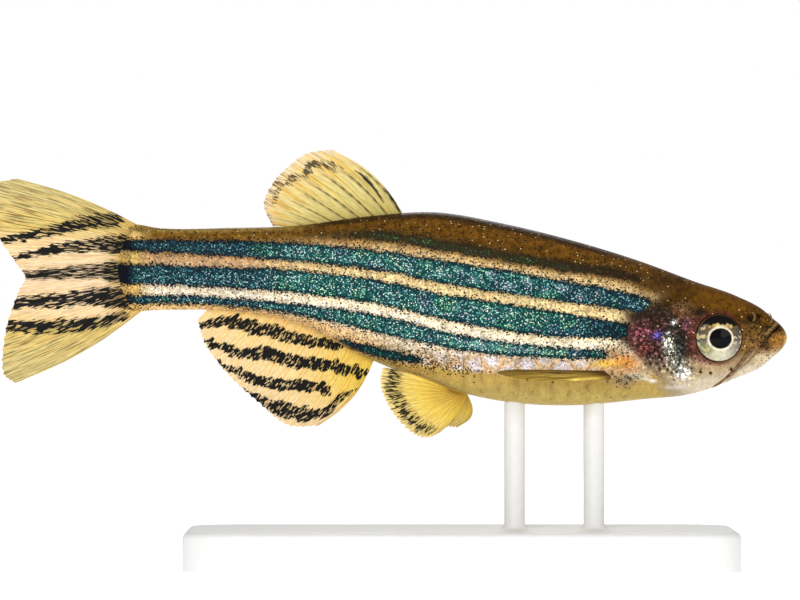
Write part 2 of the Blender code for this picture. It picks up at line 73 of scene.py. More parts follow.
GILL_EDGE = np.array(((16.9, 21), (16.4, 17.9), (15.6, 15.7), (14, 13.7), (14.75, 12.45), (16.2, 11.1),
                      (17.6, 9.9), (18.6, 8)))
GILL_TOP = 15.4
GILL_SWELL = 0.15
GILL_SWELL_REACH = 2.2
CHEEK_EDGE = np.array(((17.1, 16.5), (16.85, 14.6), (16.75, 13), (17.2, 11.9), (18.6, 11.3), (20, 10.9)))
CHEEK_SWELL = 0.06
CHEEK_REACH = 0.9
MOUTH_LINE = np.array(((23.35, 14.8), (22.93, 14.16), (22.45, 13.72), (22.07, 13.28), (21.4, 12.45),
                       (19.95, 11), (18.9, 8.6)))
MOUTH_OPEN = 0.15
NOSTRILS = ((21.72, 14.72, 0.15), (21.22, 14.6, 0.19))

EYE_X = 19.35
EYE_Z = 13.47
EYE_RADIUS = 1.37
EYE_SIDE = 1.9
EYE_BULGE = 0.45
EYE_DEPTH = 1.05
EYE_TURN = math.radians(10)

# The stripes' borders from the back down, as heights at places along the body.
STRIPE_PLACES = (-15, -10.6, -4.8, -0.2, 3.9, 9.9, 14, 16)
STRIPE_BORDERS = np.array((
    (19.6, 19.45, 19.4, 19.65, 19.08, 17.98, 17.35, 16.75),
    (19.35, 19.25, 19.2, 19.05, 18.38, 17.35, 16.75, 16.15),
    (19.17, 19.15, 18.95, 18.5, 17.9, 16.9, 16.1, 15.45),
    (18.5, 18.25, 17.86, 17.32, 16.52, 15.6, 15, 14.6),
    (17.8, 17.62, 17.38, 16.8, 15.95, 15.05, 14.35, 14),
    (16.58, 16.43, 16.02, 15.36, 14.42, 13.5, 13.4, 13.3),
    (15.95, 15.9, 15.43, 14.8, 13.78, 12.95, 12.8, 12.7),
    (15.4, 15.4, 14.74, 13.74, 12.8, 12.28, 12.2, 12.2),
    (15.15, 15.05, 14.2, 12.95, 12.2, 11.6, 11.5, 11.5),
    (15, 14.85, 13.8, 12.25, 11.7, 11.25, 11.15, 11.15),
))

# Colours down the flank as pairs of stripe phase and colour, for the trunk and for the tail.
TRUNK_TINTS = (
    (-8, (0.07, 0.032, 0.004)), (-3, (0.14, 0.062, 0.007)), (-1, (0.15, 0.068, 0.008)),
    (0, (0.11, 0.052, 0.008)), (1.1, (0.36, 0.21, 0.065)), (1.5, (0.68, 0.48, 0.21)),
    (1.9, (0.7, 0.54, 0.29)), (3.1, (0.62, 0.48, 0.23)), (3.9, (0.82, 0.66, 0.35)),
    (5.1, (0.84, 0.74, 0.5)), (5.9, (0.9, 0.84, 0.68)), (7.1, (0.76, 0.66, 0.48)),
    (8, (0.48, 0.37, 0.22)), (9.2, (0.52, 0.34, 0.085)), (11, (0.56, 0.42, 0.125)),
    (14, (0.78, 0.58, 0.2)),
)
TAIL_TINTS = (
    (-8, (0.07, 0.04, 0.006)), (-1, (0.15, 0.08, 0.01)), (0, (0.19, 0.1, 0.014)),
    (1.1, (0.2, 0.105, 0.016)), (1.9, (0.22, 0.12, 0.02)), (3.1, (0.45, 0.28, 0.13)),
    (3.9, (0.56, 0.38, 0.21)), (5.1, (0.64, 0.56, 0.42)), (5.9, (0.8, 0.74, 0.6)),
    (7.1, (0.56, 0.38, 0.14)), (8, (0.6, 0.37, 0.06)), (14, (0.62, 0.39, 0.07)),
)

# Patches at the gill cover's rear edge and on the head: place, half sizes, colour and strength. The few small
# near-white ones are painted glints.
EDGE_PATCHES = (
    (14.1, 13.7, 0.6, 0.85, (0.05, 0.02, 0.014), 1),
    (13.2, 12.7, 0.75, 0.26, (0.34, 0.17, 0.04), 0.7),
    (14.45, 14.75, 0.6, 0.42, (0.026, 0.018, 0.014), 1),
    (15.9, 16.55, 1.7, 0.62, (0.075, 0.036, 0.008), 0.95),
    (14.9, 15.55, 0.7, 0.3, (0.05, 0.026, 0.008), 0.9),
    (14.6, 11.25, 0.6, 0.24, (0.46, 0.48, 0.4), 0.7),
    # Painted glints: two small near-white spots on the gill cover's lower edge.
    (15.55, 10.98, 0.26, 0.09, (0.95, 0.93, 0.88), 0.9),
    (15.15, 11.12, 0.16, 0.07, (0.9, 0.92, 0.95), 0.8),
    (16.9, 10.62, 0.6, 0.1, (0.86, 0.78, 0.74), 0.7),
)
HEAD_PATCHES = (
    (15.3, 13.5, 1.5, 1.2, (0.135, 0.056, 0.048), 1),
    (15, 13.7, 0.7, 0.45, (0.23, 0.06, 0.09), 0.8),
    (15.1, 12.8, 0.8, 0.45, (0.2, 0.05, 0.04), 0.7),
    (15.9, 13.6, 0.42, 0.26, (0.09, 0.08, 0.42), 0.9),
    (15.5, 14.95, 1.5, 0.4, (0.034, 0.022, 0.014), 1),
    (16.5, 14.2, 0.5, 0.5, (0.05, 0.026, 0.024), 0.8),
    (17.2, 14.9, 0.6, 0.55, (0.16, 0.075, 0.03), 0.85),
    (17.5, 14.2, 0.4, 0.4, (0.19, 0.07, 0.12), 0.75),
    # Painted glint: a small near-white spot behind the eye.
    (16.75, 14.36, 0.17, 0.15, (0.9, 0.86, 0.84), 0.95),
    (17.8, 13.6, 0.36, 1, (0.19, 0.06, 0.052), 0.85),
    (16.45, 13.1, 0.32, 0.62, (0.86, 0.88, 0.72), 0.95),
    (17.15, 13, 0.32, 0.8, (0.03, 0.04, 0.034), 0.85),
    (15.8, 12.1, 0.85, 0.5, (0.13, 0.08, 0.07), 0.7),
    (16.9, 12, 0.5, 0.5, (0.36, 0.39, 0.33), 0.8),
    (17.3, 11.45, 0.44, 0.36, (0.86, 0.88, 0.84), 0.9),
    (18.4, 12.3, 0.6, 0.4, (0.36, 0.16, 0.14), 0.6),
    (18.3, 15, 0.3, 0.24, (0.012, 0.01, 0.008), 0.9),
    (17.3, 15.3, 0.6, 0.26, (0.18, 0.11, 0.05), 0.6),
    (20.9, 13, 0.75, 0.65, (0.33, 0.175, 0.05), 0.8),
    (21.3, 13.9, 0.7, 0.45, (0.19, 0.09, 0.018), 0.65),
    (21.45, 14.7, 0.42, 0.32, (0.03, 0.014, 0.005), 0.75),
    (22.2, 13, 0.35, 0.45, (0.04, 0.018, 0.006), 0.85),
    (22.9, 13.3, 0.55, 0.5, (0.36, 0.16, 0.025), 0.9),
    (23.35, 13.2, 0.16, 0.6, (0.8, 0.56, 0.13), 0.75),
    (22.3, 12.3, 0.9, 0.26, (0.76, 0.66, 0.44), 0.85),
)
GILL_SPOTS = (
    (15.35, 12.65), (15.63, 12.72), (15.87, 12.48), (15.5, 12.3), (15.2, 12.38), (16.05, 12.22),
    (15.75, 12), (16.17, 11.88), (15.92, 11.66), (16.38, 11.66), (15.63, 12.95), (16.1, 12.76),
    (16.5, 12.06), (15.38, 11.95), (16.62, 11.48), (17.2, 12.62), (17.1, 12.25), (17.28, 13.02),
    (17, 13.36), (17.34, 13.4), (17.05, 11.98),
)
CHEEK_DOTS = ((16.9, 11.5), (17.8, 11.7), (18.3, 11.5), (18.9, 11.43), (20.1, 11.65))


def smooth_through(xs, values, x):
    """Read a smooth curve through known values at many places."""
    xs = np.asarray(xs, dtype=float)
    values = np.asarray(values, dtype=float)
    x = np.asarray(x, dtype=float)
    steps = np.diff(xs)
    slopes = np.diff(values) / steps
    inner = (slopes[:-1] * steps[1:] + slopes[1:] * steps[:-1]) / (steps[:-1] + steps[1:])
    tangents = np.concatenate([[slopes[0]], inner, [slopes[-1]]])
    place = np.clip(np.searchsorted(xs, x) - 1, 0, len(steps) - 1)
    h = steps[place]
    t = np.clip((x - xs[place]) / h, 0, 1)
    return (
        (2 * t**3 - 3 * t**2 + 1) * values[place]
        + (t**3 - 2 * t**2 + t) * h * tangents[place]
        + (3 * t**2 - 2 * t**3) * values[place + 1]
        + (t**3 - t**2) * h * tangents[place + 1]
    )


def read_path(points, shares):
    """Give the points at shares of the way along a smooth path through the given ones."""
    points = np.asarray(points, dtype=float)
    spans = np.linalg.norm(np.diff(points, axis=0), axis=1)
    run = np.concatenate([[0], np.cumsum(spans)])
    places = np.asarray(shares) * run[-1]
    return np.stack([smooth_through(run, column, places) for column in points.T], axis=-1)


def ease(value, low, high):
    """Rise smoothly from 0 at low to 1 at high."""
    t = np.clip((value - low) / (high - low), 0, 1)
    return t * t * (3 - 2 * t)


def hump(value, centre, width):
    return np.exp(-(((value - centre) / width) ** 2))


def unit(vectors):
    return vectors / np.linalg.norm(vectors, axis=-1, keepdims=True)


def round_places(count):
    """Give the angles of places that lie evenly round a circle."""
    return np.arange(count) * 2 * math.pi / count


def blend(colours, colour, weight):
    """Mix a colour into a list of colours, each by its own weight."""
    weight = np.clip(weight, 0, 1)[:, None]
    return colours * (1 - weight) + np.array(colour) * weight


def body_section(x):
    """Give the middle level, rise to the back, drop to the belly and half width at places."""
    x = np.asarray(x, dtype=float)
    back, belly, width = (smooth_through(STATIONS[:, 0], STATIONS[:, column], x) for column in (1, 2, 3))
    level = belly + WIDEST_LEVEL * (back - belly)
    blunt = np.sqrt(np.clip(1 - (np.clip(x - NOSE_START, 0, None) / NOSE_LENGTH) ** 2, 0, 1))
    return level, (back - level) * blunt, (level - belly) * blunt, width * blunt


def flank_half_width(x, z):
    """Give the body's half width at places and heights."""
    level, rise, drop, width = body_section(x)
    share = (z - level) / np.maximum(np.where(z > level, rise, drop), 1e-6)
    return width * np.clip(1 - share * share, 0, 1) ** (FLANK_FULLNESS / 2)


def side_distance(line, x, z, count=90):
    """Give the distance from a side-view line, above 0 on its left, and the share of the way along it."""
    shares = np.linspace(0, 1, count)
    path = read_path(line, shares)
    flat_x, flat_z = np.ravel(x), np.ravel(z)
    apart_x = flat_x[:, None] - path[None, :, 0]
    apart_z = flat_z[:, None] - path[None, :, 1]
    nearest = np.argmin(apart_x**2 + apart_z**2, axis=1)
    along = unit(np.gradient(path, axis=0))
    rows = np.arange(len(flat_x))
    dx, dz = apart_x[rows, nearest], apart_z[rows, nearest]
    across = along[nearest, 0] * dz - along[nearest, 1] * dx
    reach = np.hypot(dx, dz) * np.where(across >= 0, 1, -1)
    return reach.reshape(np.shape(x)), shares[nearest].reshape(np.shape(x))


def gill_edge_x(z):
    return smooth_through(GILL_EDGE[::-1, 1], GILL_EDGE[::-1, 0], z)


def head_relief(x, z):
    """Give how far the head's forms stand out from the plain body, in millimetres."""
    ahead = x - gill_edge_x(z)
    covered = ease(z, GILL_TOP + 0.7, GILL_TOP - 0.7)
    cover = GILL_SWELL * np.clip(1 - ahead / GILL_SWELL_REACH, 0, 1) ** 2 * ease(ahead, -0.05, 0.05)
    cover = (cover - 0.05 * hump(ahead, -0.12, 0.1)) * covered
    cheek_out, cheek_share = side_distance(CHEEK_EDGE, x, z)
    cheek_in = np.clip(cheek_share * 5, 0, 1) * np.clip((1 - cheek_share) * 5, 0, 1)
    cheek = CHEEK_SWELL * np.clip(1 - cheek_out / CHEEK_REACH, 0, 1) ** 2 * ease(cheek_out, -0.05, 0.05)
    cheek -= 0.05 * hump(cheek_out, -0.1, 0.08)
    from_eye = np.hypot(x - EYE_X, z - EYE_Z)
    orbit = 0.06 * hump(from_eye, EYE_RADIUS + 0.1, 0.1)
    orbit -= 0.12 * ease(from_eye, EYE_RADIUS + 0.6, EYE_RADIUS + 0.1)
    mouth_out, _ = side_distance(MOUTH_LINE, x, z)
    upper = 0.09 * hump(mouth_out, -0.24, 0.12) * ease(x, 21.9, 22.2)
    lower = 0.11 * hump(mouth_out, 0.27, 0.16) * ease(x, 21.9, 22.3)
    crease = -0.08 * hump(mouth_out, 0, 0.08) * (1 - ease(x, 21.9, 22.2)) * ease(x, 19.2, 20)
    fold = 0.05 * hump(mouth_out, -0.22, 0.14) * (1 - ease(x, 21.9, 22.2)) * ease(x, 19.6, 20.4)
    pits = sum(0.05 * hump(np.hypot(x - px, z - pz), size * 1.5, size * 0.45)
               - 0.22 * hump(np.hypot(x - px, z - pz), 0, size) for px, pz, size in NOSTRILS)
    return cover + cheek * cheek_in + orbit + upper + lower + crease + fold + pits


def place_object(name, data):
    obj = bpy.data.objects.new(name, data)
    bpy.context.collection.objects.link(obj)
    return obj


def mesh_from(name, points, faces):
    """Make a mesh from points in millimetres."""
    mesh = bpy.data.meshes.new(name)
    mesh.from_pydata((np.asarray(points) * MM).tolist(), [], faces)
    return mesh


def solid_object(name, points, faces):
    """Make an object whose faces all look outwards."""
    mesh = mesh_from(name, points, faces)
    work = bmesh.new()
    work.from_mesh(mesh)
    bmesh.ops.recalc_face_normals(work, faces=work.faces)
    work.to_mesh(mesh)
    work.free()
    return place_object(name, mesh)


def add_piece(name, points, faces, material, sharp=180):
    """Make a smooth piece of the model, with its edges sharp above an angle in degrees."""
    obj = solid_object(name, points, faces)
    obj.data.materials.append(material)
    obj.data.shade_smooth()
    obj.data.set_sharp_from_angle(angle=math.radians(sharp))
    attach(obj, "root")
    return obj


def points_of(mesh):
    """Give a mesh's points in millimetres."""
    flat = np.empty(len(mesh.vertices) * 3)
    mesh.vertices.foreach_get("co", flat)
    return flat.reshape(-1, 3) / MM


def write_layers(mesh, **layers):
    """Write a number or a colour for each of a mesh's points under each name."""
    for name, values in layers.items():
        if np.ndim(values) == 1:
            layer = mesh.attributes.new(name, "FLOAT", "POINT")
            layer.data.foreach_set("value", np.asarray(values, dtype=np.float32))
        else:
            layer = mesh.attributes.new(name, "FLOAT_COLOR", "POINT")
            rgba = np.concatenate([values, np.ones((len(values), 1))], axis=1)
            layer.data.foreach_set("color", rgba.astype(np.float32).ravel())


def quads(rows, columns, closed):
    """List the faces of a grid whose columns may close on themselves."""
    faces = []
    for row in range(rows - 1):
        for column in range(columns if closed else columns - 1):
            beside = (column + 1) % columns
            low, high = row * columns, (row + 1) * columns
            faces.append((low + column, low + beside, high + beside, high + column))
    return faces


def capped(rows, columns):
    """List the faces of a closed tube of rings with a cap at each end."""
    last = rows * columns - 1
    return quads(rows, columns, True) + [tuple(range(columns)), tuple(range(last, last - columns, -1))]


def plate_faces(rows, columns):
    """List the faces of a thin plate: a grid, its turned copy and the band between them."""
    total = rows * columns
    sheet = quads(rows, columns, False)
    rim = list(range(0, total, columns)) + list(range(total - columns + 1, total))
    rim += list(range(total - columns - 1, 0, -columns)) + list(range(columns - 2, 0, -1))
    faces = sheet + [tuple(total + corner for corner in face[::-1]) for face in sheet]
    return faces + [(here, there, total + there, total + here) for here, there in zip(rim, rim[1:] + rim[:1])]


class Graph:
    """A node material under construction. Each call adds a node and gives its output."""

    def __init__(self, name):
        self.material = bpy.data.materials.new(name)
        self.material.use_nodes = True
        self.tree = self.material.node_tree
        self.shader = self.tree.nodes["Principled BSDF"]

    def put(self, socket, value):
        if isinstance(value, bpy.types.NodeSocket):
            self.tree.links.new(value, socket)
        elif value is not None:
            socket.default_value = value

    def node(self, kind, values=(), output=0, **settings):
        node = self.tree.nodes.new(kind)
        for name, setting in settings.items():
            setattr(node, name, setting)
        for place, value in (values.items() if isinstance(values, dict) else enumerate(values)):
            self.put(node.inputs[place], value)
        return node.outputs[output]

    def stretch(self, vector, factors):
        return self.node("ShaderNodeVectorMath", (vector, factors), operation="MULTIPLY")

    def number(self, name):
        return self.node("ShaderNodeAttribute", output="Fac", attribute_name=name)

    def colour(self, name):
        return self.node("ShaderNodeAttribute", output="Color", attribute_name=name)

    def math(self, operation, *values):
        return self.node("ShaderNodeMath", values, operation=operation)

    def plus(self, first, second):
        return self.math("ADD", first, second)

    def times(self, first, second):
        return self.math("MULTIPLY", first, second)

    def linear(self, value, slope, start):
        return self.math("MULTIPLY_ADD", value, slope, start)

    def mix(self, factor, first, second, blend_type="MIX"):
        first, second = ((*value, 1) if isinstance(value, tuple) else value for value in (first, second))
        return self.node("ShaderNodeMix", {0: factor, 6: first, 7: second}, 2, data_type="RGBA",
                         blend_type=blend_type)

    def tinted(self, colour, by):
        return self.mix(1, colour, by, "MULTIPLY")

    def step(self, value, low, high, start=0, end=1):
        values = (value, low, high, start, end)
        return self.node("ShaderNodeMapRange", values, interpolation_type="SMOOTHSTEP")

    def place_mm(self, stretch=(1, 1, 1)):
        """Give the place on the object in millimetres, stretched along each axis."""
        place = self.node("ShaderNodeTexCoord", output="Object")
        return self.stretch(place, tuple(part / MM for part in stretch))

    def noise(self, place, scale, detail=2, output="Fac"):
        return self.node("ShaderNodeTexNoise", {"Vector": place, "Scale": scale, "Detail": detail}, output)

    def cells(self, place, scale, randomness=1):
        """Give the distance from the nearest cell's centre and the cell's own random colour."""
        values = {"Vector": place, "Scale": scale, "Randomness": randomness}
        distance = self.node("ShaderNodeTexVoronoi", values, "Distance")
        return distance, distance.node.outputs["Color"]

    def scale(self, colour, factor):
        """Multiply a colour by a number."""
        return self.node("ShaderNodeVectorMath", {0: colour, 3: factor}, operation="SCALE")

    def part(self, colour, channel):
        return self.node("ShaderNodeSeparateColor", (colour,), channel)

    def ramp(self, value, *stops):
        output = self.node("ShaderNodeValToRGB", (value,))
        elements = output.node.color_ramp.elements
        while len(elements) < len(stops):
            elements.new(0.5)
        for element, (place, colour) in zip(elements, stops):
            element.position = place
            element.color = (*colour, 1)
        return output

    def bump(self, height, distance, strength=1):
        values = {"Height": height, "Distance": distance, "Strength": strength}
        self.put(self.shader.inputs["Normal"], self.node("ShaderNodeBump", values))

    def finish(self, colour, roughness, **constants):
        self.put(self.shader.inputs["Base Color"], colour)
        self.put(self.shader.inputs["Roughness"], roughness)
        for name, value in constants.items():
            self.put(self.shader.inputs[name.replace("_", " ")], value)
        return self.material


def skin_material():
    """The flesh's markings: ragged dark stripes full of blue-green glints, gold and cream between them."""
    g = Graph("skin")
    place = g.place_mm()
    tint = g.colour("tint")
    edge = g.number("edge")
    glitter = g.number("glitter")
    speck = g.number("speck")
    mosaic = g.number("mosaic")

    coarse = g.noise(place, 1.1, 3)
    ragged = g.noise(place, 7, 2)
    shift = g.plus(g.linear(ragged, 0.36, -0.18), g.linear(coarse, 0.24, -0.12))
    _, grain_colour = g.cells(place, 11.5)
    grain = g.part(grain_colour, "Red")
    dotted = g.linear(grain, 0.2, -0.1)
    dark = g.step(g.plus(g.plus(edge, shift), dotted), -0.04, 0.05)

    swing = g.times(glitter, g.linear(grain, 0.9, -0.42))
    light = g.scale(tint, g.plus(1, swing))
    orange = g.times(glitter, g.step(g.part(grain_colour, "Green"), 0.5, 1, 0, 0.7))
    light = g.mix(orange, light, g.tinted(light, (1, 0.7, 0.42)))
    flecks = g.noise(g.place_mm((2.6, 1, 0.5)), 2.2, 3)
    light = g.mix(g.step(flecks, 0.4, 0.7, 0, 0.35), light, g.tinted(light, (0.55, 0.5, 0.45)))
    clouds = g.noise(place, 2.6, 3)
    light = g.mix(g.number("cloudy"), light, g.scale(light, g.step(clouds, 0.3, 0.7, 0.65, 1.4)))

    tiles, tiles_colour = g.cells(place, 7.4)
    tile = g.part(tiles_colour, "Red")
    bright = g.linear(g.math("POWER", tile, 2.5), 3.4, 0.25)
    gaps = g.step(tiles, 0.35, 0.65, 1, 0.5)
    tiled = g.scale(tint, g.times(bright, gaps))
    light = g.mix(mosaic, light, tiled)
    dots, dots_colour = g.cells(place, 6.6)
    few = g.math("LESS_THAN", g.part(dots_colour, "Blue"), speck)
    light = g.mix(g.times(few, g.step(dots, 0.46, 0.28)), light, (0.012, 0.009, 0.007))
    pepper = g.math("LESS_THAN", g.part(grain_colour, "Blue"), g.linear(speck, 0.42, -0.04))
    light = g.mix(g.times(pepper, 0.85), light, (0.02, 0.014, 0.009))
    gleam = g.math("GREATER_THAN", g.part(dots_colour, "Green"), g.number("gleam"))
    light = g.mix(g.times(gleam, g.step(dots, 0.34, 0.12)), light, (0.92, 0.78, 0.42))

    glints, glints_colour = g.cells(place, 13)
    hue = g.noise(place, 0.9, 2)
    inside = g.step(g.plus(edge, shift), 0.02, 0.3)
    lit = g.times(g.linear(inside, 0.9, 0.1), g.number("shine"))
    value = g.plus(g.part(glints_colour, "Red"), g.linear(lit, 0.46, -0.43))
    glint = g.ramp(value, (0, (0.004, 0.012, 0.018)), (0.42, (0.008, 0.05, 0.055)),
                   (0.55, (0.03, 0.18, 0.175)), (0.72, (0.11, 0.5, 0.43)), (0.86, (0.45, 0.92, 0.76)),
                   (1, (1, 1, 0.9)))
    blue = g.step(g.plus(hue, g.number("blueness")), 0.5, 0.7)
    bluer = g.mix(blue, glint, g.tinted(glint, (1, 0.8, 1)))
    greener = g.mix(g.step(hue, 0.5, 0.34), bluer, g.tinted(bluer, (1.1, 1.06, 0.74)))
    core = g.step(glints, 0.62, 0.3)
    ground = g.mix(lit, (0.004, 0.009, 0.013), (0.008, 0.052, 0.056))
    ground = g.mix(g.step(lit, 0.95, 1.4, 0, 0.7), ground, (0.1, 0.26, 0.24))
    ground = g.mix(g.times(blue, 0.7), ground, g.tinted(ground, (1.6, 0.6, 0.85)))
    stripe = g.mix(g.times(core, g.step(lit, 0, 0.25)), ground, greener)

    olive = g.tinted(g.mix(1, stripe, (0.01, 0.008, 0.003), "ADD"), (1.9, 1.1, 0.5))
    stripe = g.mix(g.number("olive"), stripe, olive)
    colour = g.mix(dark, light, stripe)
    roughness = g.step(g.noise(place, 5), 0.3, 0.7, 0.3, 0.46)
    g.bump(g.plus(g.times(glints, 0.5), g.noise(place, 9)), 0.00002, 0.5)
    return g.finish(colour, roughness, Specular_IOR_Level=0.03)


def paint_skin(mesh, shade=1, glow=0.5):
    """Write the markings' attributes on a mesh that lies on the body.

    shade darkens the tint, and glow runs from 0 at a scale's rim to 1 on its middle.
    """
    points = points_of(mesh)
    x, z = points[:, 0], points[:, 2]
    level, rise, drop, _ = body_section(np.minimum(x, NOSE_START))
    share = np.clip((z - level + drop) / (rise + drop), 0, 1)

    borders = np.stack([smooth_through(STRIPE_PLACES, row, x) for row in STRIPE_BORDERS], axis=1)
    phase = np.zeros(len(x))
    edge = np.full(len(x), -9.0)
    for index in range(len(STRIPE_BORDERS) - 1):
        upper, lower = borders[:, index], borders[:, index + 1]
        between = (z <= upper) & (z > lower)
        phase[between] = index + ((upper - z) / (upper - lower))[between]
    above = z > borders[:, 0]
    phase[above] = -((z - borders[:, 0]) / 0.5)[above]
    below = z <= borders[:, -1]
    phase[below] = 9 + ((borders[:, -1] - z) / 0.5)[below]
    strengths = {
        0: 0.88 * ease(x, -5, -1) * (1 - ease(x, 14.4, 15.4)),
        2: 1 - ease(x, 15.4, 16),
        4: 1 - ease(x, 14.5, 15.1),
        6: 1 - ease(x, 12.6, 13.2),
        8: 0.9 * ease(x, -3.5, -2) * (1 - 0.6 * ease(x, 1.6, 2.6)) * (1 - ease(x, 5.5, 7.5)),
    }
    for index, strength in strengths.items():
        upper, lower = borders[:, index], borders[:, index + 1]
        inside = np.minimum(upper - z, z - lower)
        if index == 0:
            inside = inside + 0.09 * np.sin(x * 4.1) * np.sin(x * 1.7)
        edge = np.maximum(edge, np.where(strength > 0.01, inside - (1 - strength) * 0.55, -9))

    def tints(table):
        places = [row[0] for row in table]
        return np.stack([np.interp(phase, places, [row[1][k] for row in table]) for k in range(3)], axis=1)

    towards_tail = ease(x, -2, -9)[:, None]
    tint = tints(TRUNK_TINTS) * (1 - towards_tail) + tints(TAIL_TINTS) * towards_tail

    def cover(colour, weight):
        nonlocal tint
        tint = blend(tint, colour, weight)

    glow = np.broadcast_to(glow, len(x))
    ragged = 0.12 * np.sin(x * 5.3) * np.sin(x * 2.1 + 1)
    dorsal_dark = ease(phase, -0.25, 0.2) * ease(phase, 1.2, 0.85) * ease(x, -6, -2) * ease(x, 15.6, 14.6)
    cover((0.03, 0.03, 0.014), 0.7 * dorsal_dark * (1 + ragged))
    cover((0.2, 0.1, 0.026), 0.6 * hump(phase, 1.5, 0.6) * ease(x, 3, -3))
    low_patches = ease(phase, 6.9, 7.3) * ease(phase, 9.3, 8.8) * ease(x, 0, 3) * ease(x, 12.6, 11.6)
    pale = ease(x, 3, 5.5)
    cover((0.8, 0.54, 0.26), ease(phase, 7, 7.4) * ease(phase, 9.4, 8.8) * ease(x, 0.5, -2) * 0.8)
    cover((0.66, 0.44, 0.2), low_patches * pale * 0.8)
    cover((0.74, 0.74, 0.84), low_patches * ease(glow, 0.3, 0.7) * (0.35 + 0.5 * pale))
    cover((0.34, 0.17, 0.05), low_patches * ease(glow, 0.35, 0.1) * (0.7 - 0.5 * pale))
    cover((0.5, 0.34, 0.11), ease(x, -13.2, -14.4))
    ahead = x - gill_edge_x(z)
    soft = 0.42 + 0.9 * ease(z, GILL_TOP - 0.6, GILL_TOP + 1.2) + 1.1 * ease(z, 11.5, 10.5)
    head = ease(ahead, -soft, soft)
    cover((0.062, 0.028, 0.004), head)
    cover((0.15, 0.064, 0.006), head * ease(x, 16.5, 19) * ease(share, 0.7, 0.85))
    cover((0.034, 0.017, 0.005), head * ease(share, 0.8, 0.64) * ease(x, 20.5, 18.5))
    cover((0.09, 0.044, 0.01), head * ease(share, 0.7, 0.6) * ease(x, 18.5, 20.5))
    cover((0.47, 0.35, 0.195), head * ease(share, 0.36, 0.24))
    cover((0.74, 0.64, 0.47), head * ease(share, 0.2, 0.05))
    cover((0.42, 0.21, 0.05), head * ease(x, 21, 22.6) * ease(share, 0.75, 0.5) * 0.5)
    cover((0.56, 0.25, 0.06), hump(x, 13.9, 1.1) * hump(z, 12.1, 0.6) * 1.1 * (1 - head))
    cover((0.78, 0.48, 0.05), hump(x, 12.7, 0.8) * hump(z, 12, 0.25) * (1 - head))
    slanting = hump(x, 13.2, 0.7) * hump(z - 0.25 * (x - 13.2), 12.4, 0.1)
    cover((0.05, 0.028, 0.012), slanting * 0.8 * (1 - head))
    cover((0.19, 0.16, 0.13), hump(x, 13.8, 0.75) * hump(z, 11, 0.34) * 0.7)
    for patches, mask in ((EDGE_PATCHES, 1), (HEAD_PATCHES, ease(ahead, -0.6, 0.1))):
        for px, pz, rx, rz, colour, strength in patches:
            reach = ((x - px) / rx) ** 2 + ((z - pz) / rz) ** 2
            cover(colour, strength * np.exp(-(reach**1.4)) * mask)
    near_dots = np.min([np.hypot(x - px, z - pz) for px, pz in CHEEK_DOTS], axis=0)
    cover((0.015, 0.012, 0.01), ease(near_dots, 0.13, 0.08) * head)
    near_spots = np.min([np.hypot(x - px, z - pz) for px, pz in GILL_SPOTS], axis=0)
    cover((0.01, 0.008, 0.008), ease(near_spots, 0.13, 0.07) * head)
    ridge = ease(share, 0.95, 0.975)
    cover((0.04, 0.02, 0.006), ridge * ease(x, 15.5, 12.5) * ease(x, -5, -3) * 0.9)
    cover((0.34, 0.22, 0.055), ease(share, 0.93, 0.975) * ease(x, -3.5, -6) * 0.9)
    mouth_out, _ = side_distance(MOUTH_LINE, x, z)
    in_mouth = ease(x, 21.9, 22.1)
    cover((0.5, 0.36, 0.14), hump(mouth_out, -0.22, 0.06) * in_mouth * 0.6)
    cover((0.035, 0.018, 0.006), hump(mouth_out, -0.36, 0.06) * in_mouth * 0.8)
    # Painted shade: dark brown inside the open mouth and along the crease of the jaw behind it.
    cover((0.045, 0.024, 0.01), hump(mouth_out, 0, 0.13) * ease(x, 21.6, 22))
    cover((0.05, 0.026, 0.012), hump(mouth_out, 0, 0.06) * ease(x, 19.4, 20) * (1 - in_mouth) * 0.8)
    # Painted shade: near-black in the nostrils' pits.
    for px, pz, size in NOSTRILS:
        cover((0.01, 0.006, 0.004), hump(np.hypot(x - px, z - pz), 0, size * 0.9))
    from_eye = np.hypot(x - EYE_X, z - EYE_Z)
    cover((0.13, 0.038, 0.022), hump(from_eye, EYE_RADIUS + 0.09, 0.13) * (0.9 - 0.5 * ease(x, 19.5, 20.6)))

    glitter = (0.55 + 0.45 * ease(phase, 0, 2)) * (1 - 0.8 * ease(phase, 8.6, 9.6)) * (1 - 0.6 * head)
    speck = 0.09 + 0.36 * hump(edge, -0.05, 0.1)
    speck += 0.25 * hump(phase, 1.6, 0.6) + 0.25 * hump(phase, 8, 1) * (1 - 1.3 * pale)
    speck *= 1 - ease(phase, 8.8, 9.8) * 0.9
    back = ease(phase, 0.1, -0.4) * (1 - head)
    speck += 0.16 * back
    speck += 0.6 * hump(phase, 9, 0.7) * ease(x, -2, 1) * ease(x, 6.4, 4.6)
    speck += 0.6 * hump(x, 13.8, 0.8) * hump(z, 11, 0.4)
    gills = hump(x, 16, 2) * hump(z, 13.6, 1.5)
    speck = speck * (1 - head) + head * (0.12 + 0.7 * gills) * ease(share, 0.12, 0.3)
    speck += 0.5 * hump(x, 13.6, 1) * hump(z, 12.9, 0.5)
    muzzle = hump(x, 21.6, 1.5) * hump(z, 13.7, 1.4)
    speck = np.maximum(speck, head * 0.55 * muzzle)
    gleam = 0.97 - 0.035 * ease(phase, 1, 0) - 0.05 * gills * head
    gleam -= 0.05 * hump(x, 17.5, 1.5) * hump(z, 15.2, 0.6)
    gleam -= (0.03 + 0.06 * ease(x, 2, -3)) * ease(phase, 1.6, 0.6) * (1 - head)
    gleam = gleam + 0.03 * ease(phase, 8.8, 9.6) - 0.05 * hump(x, 16, 1.6) * hump(z, 15.4, 0.8)
    cut_off = ease(ahead, -0.05, 0.45)
    edge = edge * (1 - cut_off) - 3 * cut_off
